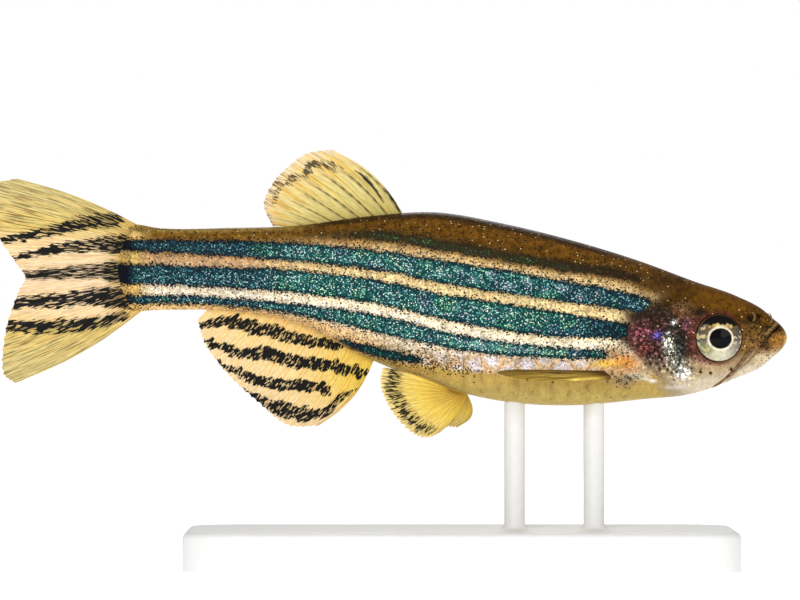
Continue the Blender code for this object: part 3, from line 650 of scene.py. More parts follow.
    cloudy = 0.8 - 0.5 * ease(phase, 0.8, 1.8) - 0.2 * ease(phase, 8.6, 9.6)
    cloudy = cloudy * (1 - head) + head * (0.15 + 0.6 * ease(share, 0.3, 0.5))
    silver = hump(x, 17.2, 0.7) * hump(z, 11.6, 0.6)
    mosaic = head * np.clip(gills * 1.5 + 0.35 * muzzle + silver, 0, 0.9)
    shine = 1 - 0.74 * ease(phase, 1.2, 0.8) - 0.62 * ease(phase, 7.5, 8.2)
    shine -= 0.45 * ease(x, -5, -9) * ease(phase, 5.5, 3.5)
    shine += 0.25 * ease(x, 2, 6) * ease(phase, 5.5, 6)
    shine -= 0.55 * ease(x, 10, 14) * ease(phase, 3.5, 4.2) + 0.2 * ease(x, 9, 14.5)
    glowing = ease(x, 0, 5) * ease(phase, 3.4, 2.6)
    shine *= 1 + (glow - 0.5) * (0.2 + 0.5 * glowing)
    shine *= ease(x, -15, -14)
    blueness = 0.3 * np.maximum(ease(x, 8, 12.5), ease(x, -5, -9))
    write_layers(mesh, tint=tint * np.reshape(shade, (-1, 1)), edge=edge, glitter=glitter, cloudy=cloudy,
                 speck=speck, mosaic=mosaic, gleam=gleam, shine=shine, olive=ease(phase, 1.3, 1),
                 blueness=blueness)


def unwrap_skin(mesh, name="OFBake"):
    """Lay the right side out in the map's upper half and the left side in its lower half."""
    points = points_of(mesh)
    x = points[:, 0]
    level, rise, drop, width = body_section(np.minimum(x, NOSE_START + NOSE_LENGTH * 0.8))
    height = (points[:, 2] - level) / np.where(points[:, 2] > level, rise, drop)
    turn = np.arctan2(np.abs(points[:, 1]) / width, height) / math.pi
    arc = NOSE_START + NOSE_LENGTH * np.arcsin(np.clip((x - NOSE_START) / NOSE_LENGTH, 0, 1))
    run = np.where(x < NOSE_START, x, arc)
    first, last = STATIONS[0][0], NOSE_START + NOSE_LENGTH * math.pi / 2
    u = 0.01 + 0.98 * (run - first) / (last - first)
    corners = np.empty(len(mesh.loops), dtype=int)
    mesh.loops.foreach_get("vertex_index", corners)
    sides = np.empty(len(mesh.loops))
    for polygon in mesh.polygons:
        start, end = polygon.loop_start, polygon.loop_start + polygon.loop_total
        sides[start:end] = points[corners[start:end], 1].sum()
    v = np.where(sides < 0, 0.99 - 0.48 * turn[corners], 0.01 + 0.48 * turn[corners])
    layer = mesh.uv_layers.new(name=name)
    layer.data.foreach_set("uv", np.stack([u[corners], v], axis=1).ravel())
    layer.active_render = True


TAIL_END_X = -15.05
TAIL_END_ROUNDING = 0.16
TAIL_END_LEVEL = 17.5


def tail_end_x(z):
    return TAIL_END_X + TAIL_END_ROUNDING * (z - TAIL_END_LEVEL) ** 2


def cut(obj, other):
    """Take another object's space out of a mesh and delete that object."""
    modifier = obj.modifiers.new("cut", "BOOLEAN")
    modifier.operation = "DIFFERENCE"
    modifier.object = other
    modifier.solver = "EXACT"
    with bpy.context.temp_override(object=obj, active_object=obj):
        bpy.ops.object.modifier_apply(modifier=modifier.name)
    spare = other.data
    bpy.data.objects.remove(other)
    bpy.data.meshes.remove(spare)


def eye_points(side, extra, segments, rings, relief=None):
    """Give the points of an eye, outermost ring first, with an optional relief on its outer face."""
    radius = EYE_RADIUS + extra
    angles = round_places(segments)
    local = []
    for polar in np.linspace(0, math.pi, rings + 1)[1:-1]:
        depth = math.cos(polar)
        reach = (EYE_BULGE if depth > 0 else EYE_DEPTH) + extra
        flat = radius * math.sin(polar)
        depths = np.full(segments, depth * reach)
        local.append(np.stack([flat * np.cos(angles), depths, flat * np.sin(angles)], axis=1))
    local = np.concatenate(local + [np.array([[0, EYE_BULGE + extra, 0], [0, -EYE_DEPTH - extra, 0]])])
    if relief is not None:
        local[:, 1] += relief(local) * (local[:, 1] > 0)
    turn = np.array(Matrix.Rotation(-EYE_TURN, 3, "Z"))
    placed = local @ turn.T
    placed += np.array([EYE_X, EYE_SIDE, EYE_Z])
    placed[:, 1] *= side
    faces = quads(rings - 1, segments, True)
    outer, inner, last = len(local) - 2, len(local) - 1, (rings - 2) * segments
    for segment in range(segments):
        beside = (segment + 1) % segments
        faces.append((outer, segment, beside))
        faces.append((inner, last + beside, last + segment))
    return local, placed, faces


def mouth_wedge(inner, outer, last):
    """Make part of the open mouth's space, a narrowing wedge between two distances from the middle."""
    shares = np.linspace(0, last, 12)
    line = read_path(MOUTH_LINE[:4], shares)
    along = unit(np.gradient(line, axis=0))
    across = np.stack([-along[:, 1], along[:, 0]], axis=1)
    gap = (MOUTH_OPEN * (1 - 0.85 * shares))[:, None] / 2
    outline = np.concatenate([line + across * gap, (line - across * gap)[::-1]])
    count = len(outline)
    points = [(x, y, z) for y in (inner, outer) for x, z in outline]
    faces = [tuple(range(count)), tuple(range(2 * count - 1, count - 1, -1))]
    faces += [(k, (k + 1) % count, count + (k + 1) % count, count + k) for k in range(count)]
    return solid_object("mouth", points, faces)


def loft(places, angles):
    """Give the body's surface at places along X and angles from the back: x, half width and z."""
    level, rise, drop, width = (part[:, None] for part in body_section(places))
    up, out = np.cos(angles), np.sin(angles)
    x = np.repeat(places[:, None], len(angles), axis=1)
    z = level + np.where(up > 0, rise, drop) * up
    side_facing = np.clip(np.abs(out) * 1.6, 0, 1)
    half = width * np.abs(out) ** FLANK_FULLNESS + head_relief(x, z) * side_facing
    return x, np.sign(out) * half, z


def make_skin(material):
    """Loft the flesh in one piece, raise the head's forms, and open the mouth and the eyes' sockets."""
    trunk = np.arange(STATIONS[0][0], HEAD_FROM, TRUNK_STEP)
    head = np.arange(HEAD_FROM, NOSE_START, HEAD_STEP)
    nose = NOSE_START + NOSE_LENGTH * np.sin(np.linspace(0, math.pi / 2, 18)[:-1])
    rings = np.concatenate([trunk, head, nose])
    x, y, z = loft(rings, round_places(SKIN_SIDES))
    x = x + ease(-x, 12.6, 15.4) * (tail_end_x(z) - TAIL_END_X)
    y = -y * (1 - 0.86 * ease(-x, 12.9, 15.45))
    points = np.stack([x, y, z], axis=2).reshape(-1, 3)
    faces = quads(len(rings), SKIN_SIDES, True)
    faces.append(tuple(range(SKIN_SIDES)))
    tip = len(points)
    points = np.concatenate([points, [[STATIONS[-1][0], 0, float(body_section(rings[-1])[0])]]])
    last = (len(rings) - 1) * SKIN_SIDES
    faces += [(last + k, last + (k + 1) % SKIN_SIDES, tip) for k in range(SKIN_SIDES)]
    skin = add_piece("skin", points, faces, material)
    for side in (RIGHT, LEFT):
        _, socket, socket_faces = eye_points(side, SOCKET_ROOM, 64, 24)
        cut(skin, solid_object("socket", socket, socket_faces))
    for inner, outer, last in ((-0.45, 0.45, 0.24), (-2, -0.35, 1), (0.35, 2, 1)):
        cut(skin, mouth_wedge(inner, outer, last))
    mesh = skin.data
    paint_skin(mesh)
    unwrap_skin(mesh)
    mesh.shade_smooth()
    mesh.set_sharp_from_angle(angle=math.radians(SHARP_ANGLE))
    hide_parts("head", "lower_jaw", "torso", "tail_stalk")
    return skin


SCALE_ROWS = 10
SCALE_RANGE = (-13.9, 15.6)
SCALE_PITCH = (0.74, 1.12)
SCALE_GRID = 7
SCALE_THICKNESS = 0.025
SCALE_LENGTH = 1.75
SCALE_HALF_HEIGHT = 0.6


def flank_table():
    """Tabulate the flank over places along X and shares of the girth from the back to the belly."""
    xs = np.linspace(STATIONS[0][0], 18, 300)
    angles = np.linspace(0, math.pi, 121)
    _, y, z = loft(xs, angles)
    steps = np.hypot(np.diff(y, axis=1), np.diff(z, axis=1))
    run = np.concatenate([np.zeros((len(xs), 1)), np.cumsum(steps, axis=1)], axis=1)
    shares = np.linspace(0, 1, 101)
    ys = np.stack([np.interp(shares * r[-1], r, line) for r, line in zip(run, y)])
    zs = np.stack([np.interp(shares * r[-1], r, line) for r, line in zip(run, z)])
    return xs, ys, zs


def read_flank(table, x, share):
    """Read the flank's place and outward normal at places along X and shares of the girth."""
    xs, ys, zs = table
    rows, columns = ys.shape
    across = np.clip((x - xs[0]) / (xs[-1] - xs[0]) * (rows - 1), 0, rows - 1.001)
    down = np.clip(share * (columns - 1), 0, columns - 1.001)
    row, column = across.astype(int), down.astype(int)
    s, t = across - row, down - column

    def read(grid):
        return ((grid[row, column] * (1 - t) + grid[row, column + 1] * t) * (1 - s)
                + (grid[row + 1, column] * (1 - t) + grid[row + 1, column + 1] * t) * s)

    pitch = xs[1] - xs[0]
    along, girth = (
        np.stack([np.full_like(x, step), *(read(np.gradient(grid, axis=axis)) for grid in (ys, zs))], -1)
        for axis, step in ((0, pitch), (1, 0))
    )
    normal = unit(np.cross(along, girth))
    normal *= np.where(normal[..., 1:2] < 0, -1, 1)
    return np.stack([x, read(ys), read(zs)], -1), normal


def make_scales(side, name, material):
    """Lay rows of thin overlapping plates on one flank, each a rounded shield with its rear edge raised."""
    table = flank_table()
    rng = np.random.default_rng(7)
    u, v = np.meshgrid(np.linspace(0, 1, SCALE_GRID), np.linspace(-1, 1, SCALE_GRID), indexing="ij")
    profile = np.where(u > 0.5, np.sqrt(np.clip(1.02 - ((u - 0.5) / 0.5) ** 2, 0, 1)), 0.85 + 0.3 * u)
    plate = plate_faces(SCALE_GRID, SCALE_GRID)
    points, faces, shades, glows = [], [], [], []
    centre_x, column = SCALE_RANGE[0], 0
    while centre_x < SCALE_RANGE[1]:
        pitch = float(np.interp(centre_x, SCALE_RANGE, SCALE_PITCH))
        for row in range(SCALE_ROWS):
            centre = (row + 0.5 + 0.5 * (column % 2)) / (SCALE_ROWS + 0.5)
            x = centre_x + SCALE_LENGTH * pitch * (0.32 - u)
            share = np.clip(centre + SCALE_HALF_HEIGHT / SCALE_ROWS * profile * v, 0, 1)
            place, normal = read_flank(table, x, share)
            tone = rng.uniform(0.9, 1.06)
            if np.max(place[..., 0] - gill_edge_x(place[..., 2])) > -0.05:
                continue
            off_edges = ease(share, 0.05, 0.2) * ease(share, 0.99, 0.86)
            lift = -0.035 + 0.085 * u * off_edges - 0.015 * v**2
            upper = place + normal * lift[..., None]
            under = place + normal * (lift - SCALE_THICKNESS)[..., None]
            start = len(points) * SCALE_GRID**2
            points += [upper.reshape(-1, 3), under.reshape(-1, 3)]
            shade = tone * (1 - 0.22 * ease(u, 0.86, 1)) * (1 + 0.08 * hump(u, 0.72, 0.12))
            shades += [shade.ravel(), shade.ravel()]
            glow = hump(u, 0.62, 0.28) * hump(v, 0, 0.75)
            glows += [glow.ravel(), glow.ravel()]
            faces += [tuple(start + corner for corner in face) for face in plate]
        centre_x += pitch
        column += 1
    placed = np.concatenate(points)
    placed[:, 1] *= side
    scales = add_piece(name, placed, faces, material, SHARP_ANGLE)
    paint_skin(scales.data, np.concatenate(shades), np.concatenate(glows))
    unwrap_skin(scales.data)
    return scales


def eye_material():
    """The eye: a black pupil in a cream ring, and an iris mottled silver, gold and grey."""
    g = Graph("eye")
    place = g.place_mm()
    tint = g.colour("tint")
    grain, grain_colour = g.cells(place, 9)
    value = g.part(grain_colour, "Red")
    iris = g.mix(g.step(value, 0, 1, 0, 0.4), tint, g.tinted(tint, (0.5, 0.42, 0.3)))
    iris = g.mix(g.step(g.noise(place, 6, 3), 0.45, 0.7, 0, 0.45), iris, g.tinted(tint, (1.25, 1.2, 1.1)))
    mottles = g.times(g.step(g.noise(place, 3.2, 2), 0.4, 0.5), g.number("mottle"))
    iris = g.mix(mottles, iris, g.tinted(iris, (0.18, 0.19, 0.32)))
    reach = g.number("reach")
    colour = g.mix(g.step(reach, 0.99, 1.04), (0.003, 0.003, 0.004), iris)
    return g.finish(colour, g.step(reach, 1, 1.1, 0.08, 0.3), Specular_IOR_Level=0.03, Coat_Weight=0.1,
                    Coat_Roughness=0.05)


def make_eye(name, side, material):
    """Make one eye with a domed lens, a raised ring round the pupil and a groove at its rim."""
    pupil_x, pupil_z, half_wide, half_high = 0.02, -0.03, 0.64, 0.58

    def reach_of(local):
        return np.hypot((local[:, 0] - pupil_x) / half_wide, (local[:, 2] - pupil_z) / half_high)

    def relief(local):
        reach = reach_of(local)
        rim = np.hypot(local[:, 0], local[:, 2]) / EYE_RADIUS
        return 0.05 * hump(reach, 0, 0.8) + 0.03 * hump(reach, 1.12, 0.12) - 0.04 * hump(rim, 0.93, 0.035)

    local, placed, faces = eye_points(side, 0, 128, 72, relief)
    reach = reach_of(local)
    rim = np.hypot(local[:, 0], local[:, 2]) / EYE_RADIUS
    angle = np.arctan2(local[:, 2], local[:, 0])
    low = ease(-np.sin(angle), -0.2, 0.5)
    behind = ease(-np.cos(angle), 0.2, 0.8)
    before = ease(np.cos(angle), 0.3, 0.9)
    ring = hump(reach, 1.13, 0.11)
    wavy = 0.05 * np.sin(local[:, 0] * 9) + 0.03 * np.sin(local[:, 0] * 23 + 1)
    # Painted shadow: a near-black crescent across the top of the eye, where the skin above it shades it.
    top_shadow = ease(local[:, 2] + 0.12 * local[:, 0] ** 2 + wavy, 0.74, 0.84)
    tint = np.tile((0.68, 0.56, 0.28), (len(local), 1))
    for colour, weight in (
        ((0.66, 0.63, 0.48), low),
        ((0.5, 0.5, 0.18), hump(angle, -2.5, 0.5) * hump(reach, 1.6, 0.4)),
        ((0.34, 0.31, 0.14), behind * 0.3),
        ((0.36, 0.28, 0.15), before * 0.3),
        ((0.82, 0.55, 0.16), hump(angle, 2.3, 0.7) * hump(reach, 1.45, 0.4)
            + hump(angle, 0.7, 0.4) * hump(reach, 1.4, 0.3)),
        ((0.93, 0.86, 0.66), ring),
        ((0.006, 0.006, 0.004), top_shadow),
        ((0.11, 0.04, 0.022), ease(rim, 0.94, 0.99)),
    ):
        tint = blend(tint, colour, weight)
    mottle = 1.2 * np.maximum(behind, before) * (1 - low * 0.5) * (1 - top_shadow) * (1 - ring)
    eye = add_piece(name, placed, faces, material)
    write_layers(eye.data, mottle=mottle, tint=tint, reach=np.where(local[:, 1] > 0, reach, 2))
    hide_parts(name)
    return eye


def fin_material(name, dark, brush, pale_beads=0.3, bead_size=(8, 6, 1), roughness=0.42, clear=0.1):
    """A fin: a thin tinted skin between ridged rays, with dark marks made of strokes along the rays.

    bead_size is how many of the marks' beads lie across the space between two rays, and along a millimetre.
    """
    g = Graph(name)
    place = g.place_mm()
    tint = g.colour("tint")
    ray = g.number("ray")
    grain = g.colour("grain")
    strokes = g.step(g.noise(g.stretch(grain, (9, 1.8, 1)), 1, 2), 0.3, 0.7)
    hairs = g.noise(g.stretch(grain, (11, 0.5, 1)), 1, 2)
    _, beads_colour = g.cells(g.stretch(grain, bead_size), 1)
    bead = g.part(beads_colour, "Red")
    ragged = g.plus(g.number("mark"), g.linear(strokes, 2 * brush, -brush))
    dark_part = g.times(g.step(ragged, -0.03, 0.06), g.step(bead, pale_beads - 0.1, pale_beads, 0.22))
    lines = g.times(g.number("line"), g.step(hairs, 0.48, 0.6))

    base = g.scale(tint, g.linear(bead, 0.24, 0.88))
    border = g.times(g.step(ray, 0.15, 0.45), g.step(ray, 0.9, 0.6))
    base = g.mix(g.times(border, 0.55), base, g.tinted(base, (0.9, 0.66, 0.34)))
    base = g.mix(g.step(hairs, 0.45, 0.7, 0, 0.4), base, g.tinted(base, (0.94, 0.76, 0.5)))
    base = g.mix(g.math("MAXIMUM", dark_part, lines), base, dark)
    clearness = g.times(g.math("SUBTRACT", 1, ray), g.math("SUBTRACT", 1, dark_part))
    g.put(g.shader.inputs["Alpha"], g.linear(clearness, -clear, 1))
    g.bump(g.plus(hairs, ray), 0.00002, 0.5)
    return g.finish(base, roughness, Specular_IOR_Level=0.12)


FORK = 0.26


class Sheet:
    """The places over a fin's sheet, each a flat list: x, z, share across, out, ray, offset from the ray."""

    def __init__(self, x, z, share, out, ray, offset):
        self.x, self.z, self.share, self.out, self.ray, self.offset = x, z, share, out, ray, offset


def make_fin(name, roots, tips, bows, ray_count, across, paint, material, wave=0, split=0.5, fringe=0.08,
             jitter=0.1):
    """Make a fin as a thin sheet with ridged rays that branch towards its margin.

    roots and tips run from the front ray to the last one. bows are how far the rays bend forwards,
    and jitter is how unevenly the marks lie from one strip between rays to the next.
    """
    across = unit(np.array(across, dtype=float))
    per_gap, rows, thick, ridge = 12, 64, 0.05, 0.07
    shares = np.linspace(0, 1, (ray_count - 1) * per_gap + 1)
    keys = np.linspace(0, 1, len(tips))
    root = read_path(roots, shares)
    tip = np.stack([smooth_through(keys, column, shares) for column in np.array(tips, dtype=float).T], axis=1)
    bow = smooth_through(keys, bows, shares)
    outs = np.linspace(0, 1, rows)

    place = shares * (ray_count - 1)
    offset = (place - np.round(place))[:, None]
    apart = FORK * ease(outs, split, 1)[None, :]
    twig = np.minimum(np.abs(offset - apart), np.abs(offset + apart))
    girth = 0.17 - 0.09 * outs[None, :]
    ray = np.exp(-((twig / girth) ** 2))

    ray_vector = tip - root
    length = np.linalg.norm(ray_vector, axis=1)
    forwards = unit(np.cross(ray_vector, across))
    forwards *= np.where(forwards[:, :1] < 0, -1, 1)
    reach = outs[None, :] * (1 + (fringe / length)[:, None] * (ray - 0.6) * ease(outs, 0.7, 1)[None, :])
    middle = root[:, None, :] + ray_vector[:, None, :] * reach[:, :, None]
    middle += forwards[:, None, :] * (bow[:, None] * np.sin(math.pi * outs)[None, :])[:, :, None]
    swing = wave * np.sin(2.2 * math.pi * shares)[:, None] * outs[None, :] ** 1.5
    middle += across * swing[:, :, None]
    half = thick / 2 + ridge * ray * (1 - 0.72 * outs[None, :])
    half *= 1 - 0.7 * ease(outs, 0.9, 1)[None, :]
    columns = len(shares)
    front = (middle + across * half[:, :, None]).reshape(-1, 3)
    back = (middle - across * half[:, :, None]).reshape(-1, 3)
    obj = add_piece(name, np.concatenate([front, back]), plate_faces(columns, rows), material, 70)

    strip = np.floor(place + FORK) * 2 + ((place + FORK) % 1 < 2 * FORK)
    middle_of_strip = np.where((place + FORK) % 1 < 2 * FORK, np.round(place), np.floor(place) + 0.5)
    bulge = ((place - middle_of_strip) / FORK) ** 2
    rng = np.random.default_rng(len(name))
    uneven = rng.uniform(-jitter, jitter, int(strip.max()) + 1)[strip.astype(int)]
    marks_at = middle + (ray_vector / length[:, None])[:, None, :] * uneven[:, None, None]
    spread = np.broadcast_to(outs[None, :], (columns, rows)).ravel()
    shares = np.repeat(shares, rows)
    at = Sheet(middle[..., 0].ravel(), middle[..., 2].ravel(), shares, spread, ray.ravel(),
               np.repeat(offset.ravel(), rows))
    moved = Sheet(marks_at[..., 0].ravel(), marks_at[..., 2].ravel(), shares, spread, at.ray, at.offset)
    tint, line, mark = paint(at, moved)
    mark = mark - 0.6 * jitter * np.repeat(bulge, rows)
    along_ray = spread * np.repeat(length, rows)
    grain = np.stack([np.repeat(place, rows), along_ray, np.zeros(len(spread))], axis=1)
    layers = {"tint": tint, "grain": grain, "mark": mark, "line": line, "ray": at.ray}
    write_layers(obj.data, **{key: np.concatenate([values, values]) for key, values in layers.items()})
    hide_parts(name)
    return obj


def blend_tints(stops, value):
    """Read a colour for each value between the given stops."""
    places = [stop[0] for stop in stops]
    return np.stack([np.interp(value, places, [stop[1][k] for stop in stops]) for k in range(3)], axis=1)


def mark_lines(lines, x, z):
    """Give how far each point lies inside the nearest of the marks, each a line with half widths along it."""
    mark = np.full(len(x), -1.0)
    for halves, line in lines:
        reach, share = side_distance(np.array(line), x, z)
        half = np.interp(share, np.linspace(0, 1, len(halves)), halves)
        mark = np.maximum(mark, half - np.abs(reach))
    return mark


DORSAL_ROOT = (1.3, -4.6)
DORSAL_TIPS = ((-3, 24.4), (-4.5, 24.15), (-5.65, 23.3), (-6.45, 22.4), (-6.95, 21.2), (-6.45, 19.95))
DORSAL_BOWS = (0.55, 0.3, 0.1, 0, 0, 0.1)
ANAL_ROOT = (-0.45, -9.9)
ANAL_TIPS = ((-3.75, 8.35), (-5.6, 8.42), (-7.3, 9.75), (-9, 11.3), (-10.3, 13), (-10.8, 14.5))
ANAL_BOWS = (0.5, 0.3, 0.1, 0, 0, 0)
CAUDAL_ROOT_LEVELS = (19.75, 15.25)
CAUDAL_TIPS = ((-21.3, 22.72), (-23.3, 22.1), (-22.7, 19.9), (-21.3, 17.75), (-20.8, 16.95), (-21.2, 16.1),
               (-21.9, 14), (-22.1, 11.6), (-21.4, 10.82))
CAUDAL_BOWS = (0.3, 0.15, 0, 0, 0, 0, 0.1, 0.25, 0.4)
PELVIC_ROOT = ((4.85, -0.9, 10.2), (4.1, -1.05, 10.4))
PELVIC_TIPS = ((3.3, -1.9, 8.02), (2.52, -2, 7.7), (1.65, -2.05, 7.98), (0.67, -2, 8.95), (0.05, -1.9, 10),
               (-0.2, -1.85, 10.95), (-0.05, -1.8, 11.8))
PELVIC_BOWS = (0.18, 0.1, 0, 0, 0, 0.05, 0.15)
LEFT_PELVIC_TIPS = ((4.35, -1.9, 8.24), (3.6, -1.9, 8.3), (2.8, -1.9, 8.6), (2.1, -1.9, 9.1),
                    (1.6, -1.8, 9.8), (1.4, -1.7, 10.4), (1.5, -1.6, 10.85))
LEFT_PELVIC_BOWS = (0.6, 0.3, 0.1, 0, 0, 0, 0)
PECTORAL_ROOT = ((13.1, -3, 11.2), (12.7, -2.85, 11.5))
PECTORAL_TIPS = ((9.4, -4.4, 11), (7.5, -4.6, 11.2), (6.7, -4.3, 11.4), (6.6, -3.8, 11.55),
                 (7.2, -3.2, 11.65))

ANAL_MARKS = (
    ((0.18, 0.38, 0.44, 0.4, 0.34, 0.28),
     ((-10.85, 14.2), (-9.48, 14.42), (-8.6, 14.38), (-7.7, 14.1), (-6.29, 13.8), (-4.9, 13.5),
      (-3.86, 13.27), (-2.6, 13))),
    ((0.2, 0.32, 0.4, 0.42, 0.38, 0.34),
     ((-10.6, 13.3), (-9.6, 13.05), (-8.8, 12.7), (-8, 12.5), (-6.6, 12.62), (-5.6, 12.3), (-4.2, 12.02),
      (-3.2, 11.88), (-2.3, 11.66), (-1.3, 11.4))),
    ((0.14, 0.3, 0.36, 0.38, 0.34),
     ((-9.6, 12.05), (-8.9, 11.62), (-7.86, 11.28), (-6.99, 11.02), (-5.25, 10.78), (-4.32, 10.68),
      (-3.3, 10.45))),
    ((0.14, 0.34, 0.48, 0.46, 0.32, 0.18, 0.14),
     ((-8.1, 10.5), (-7.45, 10.12), (-6.87, 9.8), (-6.18, 9.48), (-5.37, 9.18), (-4.55, 9.02), (-3.86, 9.05),
      (-3.2, 9.25), (-2.7, 9.8), (-2.2, 10.2), (-1.75, 10.35))),
)
CAUDAL_MARKS = (
    ((0.34, 0.4, 0.36, 0.26, 0.16),
     ((-15.6, 20.35), (-16.9, 20.25), (-18.2, 19.95), (-19.6, 19.62), (-20.9, 19.35), (-22.4, 19.05))),
    ((0.46, 0.4, 0.36, 0.26, 0.14),
     ((-14.2, 18.83), (-15.6, 18.9), (-16.9, 18.85), (-18.3, 18.72), (-19.6, 18.5), (-21.5, 18.12))),
    ((0.66, 0.48, 0.38, 0.32, 0.24),
     ((-14.2, 17.25), (-15.4, 17.3), (-17, 17.32), (-18.8, 17.2), (-20.9, 17.1))),
    ((0.46, 0.52, 0.46, 0.38, 0.32),
     ((-14.2, 15.72), (-15.5, 15.8), (-17, 15.85), (-18.7, 15.62), (-20.4, 15.58), (-21.5, 15.45))),
    ((0.16, 0.36, 0.42, 0.36, 0.28),
     ((-15.1, 14.75), (-16.3, 14.42), (-17.8, 14.2), (-19.4, 14.12), (-21.9, 14.12))),
)
DORSAL_STREAKS = (
    ((0.06, 0.1, 0.05), ((0.95, 20.8), (0.5, 21.6), (0.05, 22.2))),
    ((0.05, 0.1, 0.14, 0.03), ((0.03, 21.3), (-0.6, 22.2), (-1.26, 22.9), (-1.7, 23.2))),
)
DORSAL_MARKS = (
    ((0.1, 0.26, 0.32, 0.26), ((-2.4, 23.25), (-3.2, 23.45), (-4, 23.45), (-4.6, 23.05))),
    ((0.22, 0.26, 0.2), ((-4.7, 22.85), (-5.4, 22.75), (-5.9, 22.4))),
    ((0.12, 0.16, 0.1), ((-5.9, 22.15), (-6.3, 21.75), (-6.6, 21.2))),
)


def paint_dorsal(at, moved):
    tint = blend_tints(((0, (0.58, 0.48, 0.13)), (0.5, (0.8, 0.68, 0.26)), (0.85, (0.86, 0.68, 0.3)),
                        (1, (0.9, 0.74, 0.5))), at.out)
    streak = hump(at.offset, 0.17, 0.08) * ease(at.out, 0.85, 0.5) * ease(at.share, 1.1, 0.4)
    streak *= 0.75 + 0.25 * np.sin(at.out * 60 + at.share * 40)
    tint = tint * (1 - 0.96 * streak[:, None])
    black = ease(mark_lines(DORSAL_STREAKS, at.x, at.z), 0, 0.04)
    tint = tint * (1 - 0.97 * black[:, None])
    orange = (hump(at.offset, -0.2, 0.16) * hump(at.out, 0.75, 0.25))[:, None]
    tint = tint * (1 - orange * np.array([0, 0.14, 0.55]))
    line = 0.75 * ease(at.out, 0.86, 1) * ease(at.share, 0.35, 0.6) + 0.26
    return tint, line, mark_lines(DORSAL_MARKS, moved.x, moved.z)


def paint_anal(at, moved):
    tint = blend_tints(((0, (0.8, 0.56, 0.18)), (0.4, (0.9, 0.66, 0.28)), (1, (0.88, 0.68, 0.4))), at.out)
    tint = blend(tint, (0.86, 0.6, 0.085), ease(at.share, 0.42, 0) * ease(at.out, 0.9, 0.3))
    line = 0.7 * ease(at.share, 0.035, 0.01) * ease(at.out, 0.15, 0.4)
    return tint, line, mark_lines(ANAL_MARKS, moved.x, moved.z) + 0.03


def paint_caudal(at, moved):
    lobe = np.abs(at.z - 16.9) / 5
    tint = blend_tints(((0, (0.9, 0.69, 0.45)), (0.42, (0.9, 0.68, 0.38)), (0.6, (0.74, 0.56, 0.17)),
                        (1, (0.7, 0.58, 0.24))), lobe)
    tint = blend(tint, (0.72, 0.5, 0.15), ease(at.out, 0.3, 0.06))
    line = 0.1 + 0.5 * ease(lobe, 0.45, 0.62) * (1 - 0.5 * ease(at.out, 0.2, 0))
    return tint, line, mark_lines(CAUDAL_MARKS, moved.x, moved.z) + 0.03 + 0.16 * ease(at.out, 0.34, 0.12)


def paint_pelvic(at, moved):
    tint = blend_tints(((0, (0.62, 0.4, 0.06)), (0.5, (0.92, 0.68, 0.12)), (1, (0.92, 0.74, 0.3))), at.out)
    band = 0.12 - np.abs(moved.out - 0.84) - 0.5 * ease(at.share, 0.2, 0)
    tint = blend(tint, (0.7, 0.52, 0.06), ease(at.share, 0.06, 0))
    return tint, np.full(len(at.x), 0.2), band * 2


def paint_pectoral(at, moved):
    stops = ((0, (0.46, 0.3, 0.04)), (0.5, (0.36, 0.23, 0.04)), (1, (0.22, 0.13, 0.025)))
    tint = blend_tints(stops, at.share)
    streaks = hump(at.offset, 0, 0.14) * ease(at.share, 0.7, 0.3) * hump(at.out, 0.62, 0.32)
    tint = tint + np.array([0.42, 0.36, 0.08]) * streaks[:, None]
    tint = blend(tint, (0.1, 0.045, 0.01), ease(at.out, 0.25, 0))
    return tint, np.full(len(at.x), 0.75), np.full(len(at.x), -1.0)


def tube(path, radii, across, upright, sides):
    """Give a closed round tube's points and faces. across and upright span its rings."""
    angles = round_places(sides)[:, None]
    ring = across[..., None, :] * np.cos(angles) + upright[..., None, :] * np.sin(angles)
    points = (path[:, None, :] + ring * np.asarray(radii)[:, None, None]).reshape(-1, 3)
    return points, capped(len(path), sides)


def bent_tube(path, radii, sides):
    ahead = unit(np.gradient(path, axis=0))
    across = np.cross(ahead, (0, 0, 1))
    across /= np.maximum(np.linalg.norm(across, axis=1), 1e-9)[:, None]
    return tube(path, radii, across, np.cross(across, ahead), sides)


def feeler_material():
    g = Graph("feeler")
    place = g.place_mm()
    fine = g.noise(place, 6, 3)
    colour = g.mix(g.step(fine, 0.35, 0.65), (0.07, 0.03, 0.008), (0.26, 0.13, 0.03))
    g.bump(fine, 0.00002, 0.5)
    return g.finish(colour, 0.4, Specular_IOR_Level=0.3, Coat_Weight=0.1, Coat_Roughness=0.15)


MAXILLARY_BARBEL = ((21.75, 1.2, 13.25), (21.2, 1.62, 12.72), (20.4, 1.78, 11.75), (19.6, 1.66, 11),
                    (19, 1.45, 10.6))
ROSTRAL_BARBEL = ((22.35, 0.85, 14.25), (22.45, 1.02, 14.55), (22.35, 1.12, 14.9))
NOSTRIL_FLAP = ((21.36, 14.42), (21.46, 14.62), (21.42, 14.84), (21.3, 14.94))


